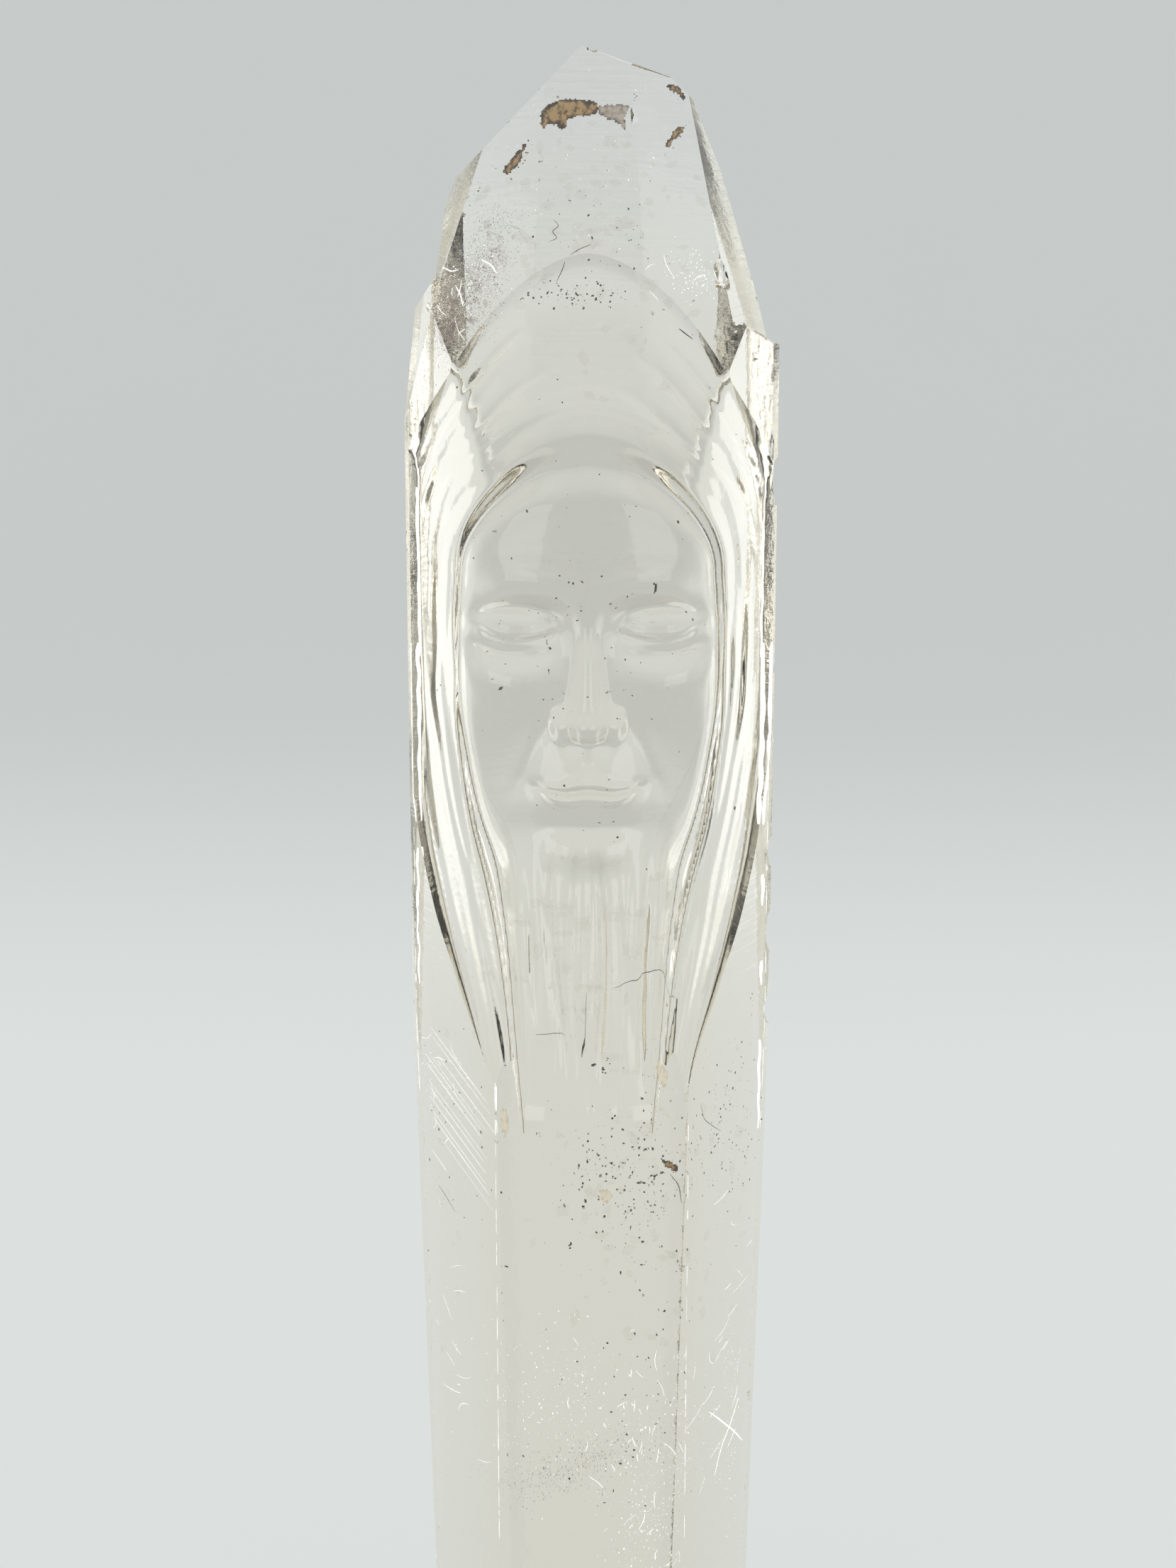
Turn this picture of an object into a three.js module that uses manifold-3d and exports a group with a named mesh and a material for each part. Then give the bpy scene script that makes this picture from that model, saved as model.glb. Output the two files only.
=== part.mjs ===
// A natural quartz point with a head carved in low relief on its front.
// Millimetres, +Z up along the crystal, the carved side facing -Y, the cut base on z = 0.
import * as THREE from "three";
import { ConvexGeometry } from "three/addons/geometries/ConvexGeometry.js";
import { mergeVertices } from "three/addons/utils/BufferGeometryUtils.js";
import Module from "manifold-3d";

const wasm = await Module();
wasm.setup();

const RAD = Math.PI / 180;
const { abs, cos, exp, max, min, sign, sin, sqrt, tan } = Math;

// The crystal
const TIP = [-0.5, 9.9, 140];
const FRONT_Y = -12.1;
const FRONT_X_MIN = -7.0;
const FRONT_X_MAX = 7.6;
const SHOULDER_Z = 112;
const RHOMB_LEAN = 38.2;
const TAPER_Z = 66;
const TAPER_ANGLE = 1.25;
const BASE_BEVEL = 0.6;

// The six prism faces: the azimuth they face, and their distance from the axis
const PRISM = [
  { azimuth: -90, distance: 12.1 },
  { azimuth: -30, distance: 12.63 },
  { azimuth: 30, distance: 11.95 },
  { azimuth: 90, distance: 9.9 },
  { azimuth: 150, distance: 11.62 },
  { azimuth: 210, distance: 12.11 },
];

// A plane that bounds the crystal, facing an azimuth and an elevation in degrees, through a point.
function plane(azimuth, elevation, point) {
  const n = [
    cos(elevation * RAD) * cos(azimuth * RAD),
    cos(elevation * RAD) * sin(azimuth * RAD),
    sin(elevation * RAD),
  ];
  return { n, d: n[0] * point[0] + n[1] * point[1] + n[2] * point[2] };
}

function onPrism(face, z) {
  return [
    face.distance * cos(face.azimuth * RAD),
    face.distance * sin(face.azimuth * RAD),
    z,
  ];
}

function meet(a, b, c) {
  const m = new THREE.Matrix3().set(...a.n, ...b.n, ...c.n);
  if (abs(m.determinant()) < 1e-7) return null;
  return new THREE.Vector3(a.d, b.d, c.d).applyMatrix3(m.invert());
}

// The corners of the convex body inside all the planes.
function corners(planes) {
  const found = [];
  for (let i = 0; i < planes.length; i++)
    for (let j = i + 1; j < planes.length; j++)
      for (let k = j + 1; k < planes.length; k++) {
        const p = meet(planes[i], planes[j], planes[k]);
        if (!p) continue;
        const inside = planes.every(
          (q) => q.n[0] * p.x + q.n[1] * p.y + q.n[2] * p.z < q.d + 1e-6,
        );
        if (inside && !found.some((f) => f.distanceTo(p) < 1e-4)) found.push(p);
      }
  return found;
}

function solid(geometry) {
  const bare = geometry.index ? geometry.toNonIndexed() : geometry.clone();
  bare.deleteAttribute("normal");
  bare.deleteAttribute("uv");
  const merged = mergeVertices(bare, 1e-5);
  return new wasm.Manifold(
    new wasm.Mesh({
      numProp: 3,
      vertProperties: new Float32Array(merged.attributes.position.array),
      triVerts: new Uint32Array(merged.index.array),
    }),
  );
}

const convex = (planes) => solid(new ConvexGeometry(corners(planes)));

const flanks = PRISM.map((f) => plane(f.azimuth, 0, onPrism(f, 0)));
const tapers = PRISM.filter((f) => abs(f.azimuth) !== 90).map((f) =>
  plane(f.azimuth, -TAPER_ANGLE, onPrism(f, TAPER_Z)),
);
const bevels = PRISM.map((f) => {
  const inset = abs(f.azimuth) === 90 ? 0 : TAPER_Z * tan(TAPER_ANGLE * RAD);
  const foot = { ...f, distance: f.distance - inset - BASE_BEVEL };
  return plane(f.azimuth, -45, onPrism(foot, 0));
});
const base = plane(0, -90, [0, 0, 0]);
const narrowBacks = [plane(62, 1.5, [3.6, 9.9, 132]), plane(118, 1.5, [-3.5, 9.9, 132])];
const frontRhomb = plane(-90, RHOMB_LEAN, [0, FRONT_Y, SHOULDER_Z]);

const mainPlanes = [
  ...flanks,
  ...tapers,
  ...bevels,
  ...narrowBacks,
  base,
  frontRhomb,
  plane(178, 44, TIP),
  plane(45, 56.4, TIP),
  plane(10, 42, [6.2, 8.1, 137.7]),
  plane(-20, 24.1, [9.5, -0.94, 126.2]),
  plane(10, 7.2, [12.4, 2.5, 122.8]),
  plane(-160, 30, [-9.9, -0.9, 126.3]),
  plane(178, 4, [-11.0, 0, 126]),
];

// The second crystal, grown parallel to the first, that ends as a ledge on the left.
const sidePlanes = [
  ...flanks,
  ...tapers,
  ...bevels,
  ...narrowBacks,
  base,
  frontRhomb,
  plane(-165, 8, [-12.5, -2.6, 117.2]),
  plane(175, 37, [-12.15, 0, 122.2]),
  plane(178, 3, [-14.05, 2, 116]),
  plane(60, 70, [-9.5, -2, 123.4]),
];

// Conchoidal chips along the edges: centre, radii, and turn about the vertical
const CHIPS = [
  { at: [10.2, -2.9, 125.4], r: [1.3, 1.2, 2.6], turn: -20 },
  { at: [12.6, -5.4, 119.2], r: [0.9, 1.1, 1.9], turn: -40 },
  { at: [14.9, -1.1, 108.5], r: [1.3, 1.6, 2.4], turn: 0 },
  { at: [14.75, -0.9, 73.2], r: [1.05, 1.3, 2.2], turn: 10 },
  { at: [14.8, -0.8, 66.8], r: [1.2, 1.5, 1.5], turn: 0 },
  { at: [14.65, -1.0, 79.6], r: [0.95, 1.2, 1.6], turn: 0 },
  { at: [-12.9, -3.6, 121.9], r: [1.4, 1.5, 1.2], turn: 20 },
  { at: [-14.7, -0.6, 118.6], r: [1.1, 1.6, 1.4], turn: 0 },
  { at: [-14.9, 0.4, 112.6], r: [1.3, 1.7, 1.2], turn: 0 },
  { at: [-14.75, 0.4, 66.4], r: [1.05, 1.3, 1.1], turn: 0 },
  { at: [-7.3, -12.9, 22.4], r: [1.0, 1.1, 1.7], turn: 30 },
  { at: [7.6, -12.9, 38.6], r: [0.9, 1.1, 1.3], turn: -30 },
];

function chip({ at, r, turn }) {
  const shape = new THREE.IcosahedronGeometry(1, 1)
    .scale(...r)
    .rotateZ(turn * RAD)
    .translate(...at);
  return solid(shape);
}

// The carving is a height over the x, z plane: how far the surface stands toward the viewer, which is -y.
const SKULL_TOP = 118;
const CHIN = 80;
const HEAD = SKULL_TOP - CHIN;
const THIRD = (HEAD * 0.84) / 3;
const EYES = CHIN + HEAD / 2;
const NOSE = CHIN + THIRD;
const BROW = CHIN + 2 * THIRD;
const MOUTH = NOSE - THIRD / 3;
const EYE = (HEAD * 2) / 3 / 5;
const ARCH = 103;
const ARCH_POWER = 1.75;
const ARCH_IN = [9.7, 9.3];
const ARCH_OUT = [13.9, 21.5];
const DEEPEST = 1.0;
const CUTTER_FRONT = 20;

const clamp = (v, lo, hi) => min(max(v, lo), hi);
const gauss = (v) => exp(-v * v);
const groove = (v) => exp(-(abs(v) ** 1.7));
const bump = (x, z, cx, cz, rx, rz) => gauss((x - cx) / rx) * gauss((z - cz) / rz);

function step(a, b, v) {
  const t = clamp((v - a) / (b - a), 0, 1);
  return t * t * (3 - 2 * t);
}

function softMin(a, b, k) {
  const t = clamp(0.5 + (0.5 * (b - a)) / k, 0, 1);
  return b + (a - b) * t - k * t * (1 - t);
}

const softMax = (a, b, k) => -softMin(-a, -b, k);

// A smooth line through rows of [place, value] with rising places.
function line(v, rows) {
  const n = rows.length;
  const slope = (i) => (rows[i + 1][1] - rows[i][1]) / (rows[i + 1][0] - rows[i][0]);
  const tangent = (i) => {
    if (i === 0) return slope(0);
    if (i === n - 1) return slope(n - 2);
    const [a, b] = [slope(i - 1), slope(i)];
    return a * b > 0 ? (2 * a * b) / (a + b) : 0;
  };
  const u = clamp(v, rows[0][0], rows[n - 1][0]);
  let i = 0;
  while (i < n - 2 && u >= rows[i + 1][0]) i++;
  const w = rows[i + 1][0] - rows[i][0];
  const t = (u - rows[i][0]) / w;
  return (
    (2 * t ** 3 - 3 * t ** 2 + 1) * rows[i][1] +
    (t ** 3 - 2 * t ** 2 + t) * w * tangent(i) +
    (3 * t ** 2 - 2 * t ** 3) * rows[i + 1][1] +
    (t ** 3 - t ** 2) * w * tangent(i + 1)
  );
}

// The uncarved front, with its edges rounded over a length k.
function block(x, z, k) {
  const slope = tan(60 * RAD);
  const right = -FRONT_Y - slope * (x - FRONT_X_MAX);
  const left = -FRONT_Y - slope * (FRONT_X_MIN - x);
  const top = -FRONT_Y - (z - SHOULDER_Z) / tan((90 - RHOMB_LEAN) * RAD);
  return softMin(softMin(softMin(-FRONT_Y, right, k), left, k), top, k);
}

const FACE_WIDTH = [
  [76, 3.4], [80, 5.4], [83, 7.0], [87, 8.4], [91, 9.3],
  [96, 9.9], [101, 9.9], [105, 9.3], [109, 8.0], [112, 6.0],
];
const FACE_HEIGHT = [
  [76, 10.0], [80, 10.2], [84, 10.0], [88, 9.8], [92, 9.6], [96, 9.6],
  [100, 9.9], [104, 10.5], [108, 10.6], [112, 9.9], [116, 7.6],
];
const NOSE_HEIGHT = [
  [NOSE - 1.2, 9.7], [NOSE + 0.1, 11.1], [NOSE + 1.4, 11.75], [NOSE + 3, 11.45],
  [EYES - 2.2, 10.7], [EYES + 0.6, 9.95], [BROW + 0.6, 10.2], [BROW + 3.5, 10.3],
];
const NOSE_WIDTH = [
  [NOSE, 1.45], [NOSE + 1.3, 1.6], [NOSE + 3.4, 1.15],
  [EYES - 1, 0.95], [EYES + 1.2, 1.3], [BROW + 2, 2.6],
];

function eyeHeight(start, a, z) {
  let h = start;
  h -= 1.4 * bump(a, z, EYE - 0.1, EYES + 0.3, 3.4, 2.4);
  h -= 0.35 * bump(a, z, 2.6, EYES + 0.5, 1.3, 2.0);
  const ball = 9.05 - 1.35 * (((a - EYE) / 3) ** 2 + ((z - EYES + 0.1) / 2) ** 2);
  h = softMax(h, ball, 0.55);
  const across = (a - EYE) / (EYE * 0.52);
  const on = step(1.15, 0.85, abs(across));
  const seam = EYES - 0.55 - 0.5 * (1 - across ** 2);
  h -= 0.34 * gauss((z - seam) / 0.22) * on;
  h += 0.14 * gauss((z - seam - 0.5) / 0.32) * on;
  const crease = EYES + 1.45 - 0.55 * across ** 2;
  h -= 0.26 * gauss((z - crease) / 0.28) * step(1.3, 0.7, abs(across));
  return h;
}

function noseHeight(start, x, z) {
  const a = abs(x);
  const fade = 3 * step(BROW - 0.5, BROW + 3.5, z) + 3 * step(NOSE + 0.3, NOSE - 1.1, z);
  const ridge = line(z, NOSE_HEIGHT) - 1.2 * (a / line(z, NOSE_WIDTH)) ** 2 - fade;
  const tip = 11.85 - 1.5 * ((a / 1.5) ** 2 + ((z - NOSE - 1.35) / 1.45) ** 2);
  const wing = 10.6 - (((a - 1.85) / 1.0) ** 2 + ((z - NOSE - 1.1) / 1.4) ** 2);
  return softMax(softMax(softMax(start, ridge, 0.8), tip, 0.6), wing, 0.6);
}

function mouthHeight(start, x, z) {
  const a = abs(x);
  const m = a / 3.7;
  const seam = MOUTH + 0.1 * cos(a * 1.7) - 0.05 * m ** 2;
  const span = sqrt(max(1 - m ** 2, 0));
  const upper = max(1.1 * span * (0.84 + 0.16 * cos((a - 0.95) * 2)), 0.08);
  const lower = max(1.45 * span, 0.08);
  const on = step(1.05, 0.8, m);
  let h = start;
  if (z > seam) h += 0.45 * gauss(((z - seam) / upper - 0.42) / 0.48) * on;
  else h += 0.55 * gauss(((seam - z) / lower - 0.42) / 0.48) * on;
  h -= 0.42 * gauss((z - seam) / 0.24) * step(1.15, 0.9, m);
  return h;
}

function faceHeight(x, z) {
  const a = abs(x);
  let h = line(z, FACE_HEIGHT) - 3.6 * (a / (line(z, FACE_WIDTH) + 0.4)) ** 2.3;
  h += 0.7 * bump(a, z, 6.9, EYES - 4.2, 3.0, 2.4);
  h -= 0.4 * bump(a, z, 7.0, MOUTH + 1.2, 2.6, 3.2);
  h -= 0.4 * bump(a, z, 9.4, EYES + 4.0, 1.8, 3.5);
  const brow = BROW + 0.9 - 0.05 * (a - 4) ** 2;
  const full = 0.45 + 0.3 * bump(a, z, 3.8, BROW, 3.0, 9);
  h += full * gauss((z - brow) / 1.45) * step(9.5, 6.0, a);
  h = eyeHeight(h, a, z);
  h += 0.9 * bump(x, z, 0, MOUTH + 0.2, 4.8, 3.8);
  h -= 0.45 * gauss((z - MOUTH + 3) / 0.9) * step(4.5, 1.2, a);
  h += 0.8 * bump(x, z, 0, CHIN + 1.9, 3.2, 2.0);
  return mouthHeight(noseHeight(h, x, z), x, z);
}

const HAIR_IN = [
  [60, 5.0], [66, 5.5], [72, 6.0], [76, 6.5], [80, 7.3],
  [84, 8.5], [88, 9.3], [93, 9.9], [98, 10.0], [103, 9.7],
];
const HAIR_OUT = [
  [60, 6.9], [65.5, 7.6], [71, 9.2], [76.6, 10.9],
  [82, 12.1], [88, 13.0], [95, 13.7], [103, 13.9],
];

// How far across the hair a point is: 0 at the face, 1 at the outer edge.
function across(x, z) {
  const a = abs(x);
  if (z <= ARCH) {
    const inner = line(z, HAIR_IN);
    return (a - inner) / (line(z, HAIR_OUT) - inner);
  }
  let [lo, hi] = [-2.2, 3];
  for (let i = 0; i < 24; i++) {
    const m = (lo + hi) / 2;
    const w = max(ARCH_IN[0] + (ARCH_OUT[0] - ARCH_IN[0]) * m, 0.05);
    const h = max(ARCH_IN[1] + (ARCH_OUT[1] - ARCH_IN[1]) * m, 0.05);
    const outside = (a / w) ** ARCH_POWER + ((z - ARCH) / h) ** ARCH_POWER > 1;
    if (outside) lo = m;
    else hi = m;
  }
  return (lo + hi) / 2;
}

// The cuts between the locks: the side, the place across the hair at the top and at the foot,
// how far from the middle it starts, the height where it ends, its depth and its half width.
const CUTS = [
  { side: 1, top: 0.8, foot: 0.84, start: 4.4, end: 67, deep: 0.54, wide: 0.5 },
  { side: 1, top: 0.62, foot: 0.6, start: 2.6, end: 63.5, deep: 0.5, wide: 0.42 },
  { side: 1, top: 0.5, foot: 0.42, start: 6.2, end: 86, deep: 0.36, wide: 0.3 },
  { side: 1, top: 0.36, foot: 0.34, start: 1.6, end: 66, deep: 0.54, wide: 0.45 },
  { side: 1, top: 0.22, foot: 0.16, start: 4.6, end: 62, deep: 0.5, wide: 0.34 },
  { side: 1, top: 0.1, foot: 0.1, start: 2.8, end: 92, deep: 0.33, wide: 0.3 },
  { side: -1, top: 0.84, foot: 0.8, start: 3.2, end: 69, deep: 0.5, wide: 0.42 },
  { side: -1, top: 0.68, foot: 0.66, start: 5.2, end: 64.5, deep: 0.58, wide: 0.5 },
  { side: -1, top: 0.52, foot: 0.56, start: 2.2, end: 88, deep: 0.4, wide: 0.34 },
  { side: -1, top: 0.42, foot: 0.38, start: 3.9, end: 67.5, deep: 0.5, wide: 0.38 },
  { side: -1, top: 0.26, foot: 0.22, start: 1.4, end: 63, deep: 0.58, wide: 0.48 },
  { side: -1, top: 0.12, foot: 0.06, start: 5.4, end: 74, deep: 0.33, wide: 0.3 },
];

// Millimetres across the hair, for a whole step from the face to its outer edge.
const hairSpan = (z) => 3.6 + 8.3 * step(103, 121, z);

function lockCuts(x, z, t) {
  let cut = 0;
  const calm = 1 - 0.8 * bump(abs(x), z, 8.4, 110, 2.6, 9);
  for (const c of CUTS) {
    if (c.side !== sign(x)) continue;
    const place = c.foot + (c.top - c.foot) * step(78, 116, z) + 0.03 * sin(z * 0.21 + c.top * 20);
    const from = step(c.start, c.start + 7, abs(x) + 8 * step(108, 98, z));
    const to = step(c.end, c.end + 7, z);
    cut += c.deep * groove(((t - place) * hairSpan(z)) / c.wide) * from * to * calm;
  }
  return cut;
}

function hairHeight(x, z, t) {
  const ends = step(61, 71, z);
  const roll = 0.55 * (1 - sin(Math.PI * clamp(t, 0, 1)) ** 0.6) * step(64, 76, z);
  const border = 0.45 * gauss(((t - 0.95) * hairSpan(z)) / 0.95) * ends;
  const lift = 3 * step(1.0, 1.6, t) + 0.9 * (1 - ends) + 2.5 * step(63, 57, z);
  const faint = 1 - 0.75 * step(107, 117, z) * step(0.35, 0.85, t);
  const rounding = 2.6 - 1.6 * step(108, 117, z) * step(0.6, 1.0, t);
  const sunk = (0.45 * ends + roll + border) * faint + lockCuts(x, z, t);
  return block(x, z, rounding) + 0.12 - sunk + lift;
}

const BEARD_HEIGHT = [[55, 12.6], [62, 12.25], [68, 11.95], [74, 11.5], [80, 10.95], [86, 10.5]];
const BEARD_WIDTH = [[57, 2.5], [62, 4.4], [68, 5.2], [75, 5.6], [80, 6.0], [84, 7.0]];
const BEARD_CUTS = 9;

function beardCuts(x, z) {
  let cut = 0;
  for (let i = 0; i < BEARD_CUTS; i++) {
    const root = -4.6 + i * 1.13 + 0.25 * sin(i * 2.3);
    const top = 84 - 0.1 * root ** 2 + 1.5 * sin(i * 1.9);
    const end = 59 + 0.2 * (root - 0.7) ** 2 + 4 * (0.5 + 0.5 * sin(i * 2.7 + 1));
    const sway = 0.22 * sin(z * 0.27 + i * 1.3) + (0.4 * (80 - z)) / 25;
    const place = root * (0.84 + 0.16 * step(60, 80, z)) + sway;
    const wide = 0.3 + 0.14 * sin(i * 3.1) ** 2;
    const deep = 0.42 + 0.2 * sin(i * 4.1);
    cut += deep * groove((x - place) / wide) * step(end, end + 6, z) * step(top + 1, top - 7, z);
  }
  return cut;
}

function beardHeight(x, z) {
  const a = abs(x);
  const body = softMin(line(z, BEARD_HEIGHT) - 0.035 * a ** 2, block(x, z, 2.4) + 0.1, 0.4);
  const side = 1.9 * step(62, 76, z) * gauss((a - line(z, BEARD_WIDTH) - 0.75) / 0.8);
  return body - side + 2.5 * step(63, 56, z);
}

// The carved surface's height. Where it stands over the crystal, the crystal is left as it grew.
function carved(x, z) {
  const a = abs(x);
  const t = across(x, z);
  const skin = faceHeight(x, z) - 0.55 * gauss((t + 0.09) / 0.13) * step(66, 83, z);
  const low = step(85.5, 78.5, z + 0.12 * a ** 1.3);
  const middle = skin * (1 - low) + beardHeight(x, z) * low - beardCuts(x, z);
  const edge = step(-0.1, 0.1, t);
  return max(middle * (1 - edge) + hairHeight(x, z, t) * edge, DEEPEST);
}

// Evenly spaced values over each stretch of [from, to, spacing].
function spaced(stretches) {
  const out = [];
  for (const [from, to, gap] of stretches) {
    const n = Math.round((to - from) / gap);
    for (let i = 0; i < n; i++) out.push(from + ((to - from) * i) / n);
  }
  out.push(stretches[stretches.length - 1][1]);
  return out;
}

const COLUMNS = spaced([[-14.8, -10.6, 0.5], [-10.6, 10.6, 0.53], [10.6, 14.8, 0.5]]);
const ROWS = spaced([[56, 78, 1.6], [78, 88, 0.75], [88, 104, 0.53], [104, 114, 0.8], [114, 127, 1.1]]);

// The waste in front of the carving, as a closed solid.
function waste() {
  const [nx, nz] = [COLUMNS.length, ROWS.length];
  const points = [];
  for (const z of ROWS) for (const x of COLUMNS) points.push(x, -carved(x, z), z);
  for (const z of ROWS) for (const x of COLUMNS) points.push(x, -CUTTER_FRONT, z);
  const index = [];
  const quad = (a, b, c, d) => index.push(a, b, c, a, c, d);
  const height = (p) => points[p * 3 + 1];
  // A square of the carving is split along its flatter diagonal, so edges stay clean.
  const folded = (a, b, c, d) => {
    if (abs(height(a) - height(c)) < abs(height(b) - height(d))) quad(a, b, c, d);
    else quad(b, c, d, a);
  };
  const back = (i, j) => j * nx + i;
  const front = (i, j) => nx * nz + j * nx + i;
  for (let j = 0; j < nz - 1; j++)
    for (let i = 0; i < nx - 1; i++) {
      folded(back(i, j), back(i, j + 1), back(i + 1, j + 1), back(i + 1, j));
      quad(front(i, j), front(i + 1, j), front(i + 1, j + 1), front(i, j + 1));
    }
  for (let i = 0; i < nx - 1; i++) {
    quad(front(i, 0), back(i, 0), back(i + 1, 0), front(i + 1, 0));
    quad(front(i, nz - 1), front(i + 1, nz - 1), back(i + 1, nz - 1), back(i, nz - 1));
  }
  for (let j = 0; j < nz - 1; j++) {
    quad(front(0, j), front(0, j + 1), back(0, j + 1), back(0, j));
    quad(front(nx - 1, j), back(nx - 1, j), back(nx - 1, j + 1), front(nx - 1, j + 1));
  }
  const geometry = new THREE.BufferGeometry();
  geometry.setAttribute("position", new THREE.Float32BufferAttribute(points, 3));
  geometry.setIndex(index);
  const made = solid(geometry);
  if (made.volume() < 0) throw new Error("the waste is inside out");
  return made;
}

function crystalSolid() {
  let body = convex(mainPlanes).add(convex(sidePlanes));
  for (const c of CHIPS) body = body.subtract(chip(c));
  return body.subtract(waste());
}

function toGeometry(body) {
  const mesh = body.getMesh();
  const points = new Float32Array(mesh.numVert * 3);
  for (let i = 0; i < mesh.numVert; i++)
    points.set(mesh.vertProperties.subarray(i * mesh.numProp, i * mesh.numProp + 3), i * 3);
  const geometry = new THREE.BufferGeometry();
  geometry.setAttribute("position", new THREE.BufferAttribute(points, 3));
  geometry.setIndex(new THREE.BufferAttribute(new Uint32Array(mesh.triVerts), 1));
  geometry.computeVertexNormals();
  return geometry;
}

const quartz = new THREE.MeshStandardMaterial({
  name: "quartz",
  color: 0xe6e4df,
  roughness: 0.08,
  metalness: 0,
  flatShading: true,
});

const crystal = new THREE.Mesh(toGeometry(crystalSolid()), quartz);
crystal.name = "crystal";

const wand = new THREE.Group();
wand.name = "quartz_wand";
wand.add(crystal);

export default wand;
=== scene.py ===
"""A clear quartz point with a head carved in low relief on its front.

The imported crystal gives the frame. The finely carved crystal and the marks inside it are made here.
Shapes are worked out in millimetres, with +Z along the crystal and the carving facing -Y.
They go to Blender in metres.
"""

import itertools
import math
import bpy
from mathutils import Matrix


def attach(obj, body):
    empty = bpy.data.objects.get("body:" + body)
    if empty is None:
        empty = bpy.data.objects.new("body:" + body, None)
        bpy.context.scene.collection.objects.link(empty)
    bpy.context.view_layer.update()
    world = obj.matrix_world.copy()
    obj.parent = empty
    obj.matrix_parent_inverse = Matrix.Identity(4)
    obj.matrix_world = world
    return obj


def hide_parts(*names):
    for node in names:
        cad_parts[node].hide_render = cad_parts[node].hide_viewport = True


bl_info = {
    "name": "Carved quartz point",
    "version": (1, 0, 0),
    "blender": (4, 5, 0),
    "location": "3D View > Sidebar > Quartz",
    "description": "Builds a clear quartz point with a carved head, its inner marks and a pale stage",
    "category": "Add Mesh",
}

import bmesh
import bpy
import numpy as np
from bpy.props import FloatProperty, FloatVectorProperty, IntProperty, PointerProperty
from bpy.types import Operator, Panel, PropertyGroup
from mathutils import Matrix, Vector

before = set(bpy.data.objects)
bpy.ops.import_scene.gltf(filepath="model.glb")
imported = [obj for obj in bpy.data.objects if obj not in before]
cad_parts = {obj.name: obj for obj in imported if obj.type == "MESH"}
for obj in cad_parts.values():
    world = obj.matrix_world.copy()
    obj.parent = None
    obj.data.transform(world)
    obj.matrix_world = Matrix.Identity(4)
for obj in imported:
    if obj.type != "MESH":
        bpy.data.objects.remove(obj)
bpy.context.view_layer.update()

MM = 0.001
NODE = "crystal"
BODY = "root"

# The crystal

TIP = (-0.5, 9.9, 140.0)
FRONT_Y = -12.1
FRONT_LEFT, FRONT_RIGHT = -7.0, 7.6
SHOULDER_Z = 112.0
RHOMB_LEAN = 38.2
TAPER_Z = 66.0
TAPER_ANGLE = 1.25
BASE_BEVEL = 0.6

# The azimuth that each prism face looks to, and its distance from the axis
PRISM = ((-90, 12.1), (-30, 12.63), (30, 11.95), (90, 9.9), (150, 11.62), (210, 12.11))

# The other faces: azimuth, elevation and a point on each
BASE = (0, -90, (0, 0, 0))
NARROW_BACKS = ((62, 1.5, (3.6, 9.9, 132)), (118, 1.5, (-3.5, 9.9, 132)))
FRONT_RHOMB = (-90, RHOMB_LEAN, (0, FRONT_Y, SHOULDER_Z))
MAIN_FACES = (
    FRONT_RHOMB,
    (178, 44, TIP),
    (45, 56.4, TIP),
    (10, 42, (6.2, 8.1, 137.7)),
    (-20, 24.1, (9.5, -0.94, 126.2)),
    (10, 7.2, (12.4, 2.5, 122.8)),
    (-160, 30, (-9.9, -0.9, 126.3)),
    (178, 4, (-11.0, 0, 126)),
)
SIDE_FACES = (
    FRONT_RHOMB,
    (-165, 8, (-12.5, -2.6, 117.2)),
    (175, 37, (-12.15, 0, 122.2)),
    (178, 3, (-14.05, 2, 116)),
    (60, 70, (-9.5, -2, 123.4)),
)
PARALLEL = 1e-7
TOUCHING = 1e-6


def plane(azimuth, elevation, point):
    """A plane that bounds the crystal: its outward normal and its distance from the origin."""
    a, e = math.radians(azimuth), math.radians(elevation)
    normal = np.array([math.cos(e) * math.cos(a), math.cos(e) * math.sin(a), math.sin(e)])
    return normal, float(normal @ np.array(point, float))


def on_prism(azimuth, distance, z):
    """The point of a prism face that is straight out from the axis."""
    a = math.radians(azimuth)
    return (distance * math.cos(a), distance * math.sin(a), z)


def prism_planes():
    """The flanks with their slight taper toward the base, the bevelled base and the narrow back faces."""
    found = [plane(*face) for face in (BASE, *NARROW_BACKS)]
    for azimuth, distance in PRISM:
        found.append(plane(azimuth, 0, on_prism(azimuth, distance, 0)))
        inset = 0.0
        if abs(azimuth) != 90:
            found.append(plane(azimuth, -TAPER_ANGLE, on_prism(azimuth, distance, TAPER_Z)))
            inset = TAPER_Z * math.tan(math.radians(TAPER_ANGLE))
        found.append(plane(azimuth, -45, on_prism(azimuth, distance - inset - BASE_BEVEL, 0)))
    return found


# The main crystal, and the one that grew beside it and ends as a ledge on its left
MAIN_PLANES = prism_planes() + [plane(*face) for face in MAIN_FACES]
SIDE_PLANES = prism_planes() + [plane(*face) for face in SIDE_FACES]


def corners(planes):
    """The corners of the convex body inside all the planes."""
    normals = np.array([n for n, _ in planes])
    distances = np.array([d for _, d in planes])
    found = []
    for rows in itertools.combinations(range(len(planes)), 3):
        matrix = normals[list(rows)]
        if abs(np.linalg.det(matrix)) < PARALLEL:
            continue
        point = np.linalg.solve(matrix, distances[list(rows)])
        if (normals @ point < distances + TOUCHING).all():
            found.append(point)
    return np.unique(np.round(found, 5), axis=0)


# The carving, as a height over the x, z plane: how far the surface stands toward the viewer

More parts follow.
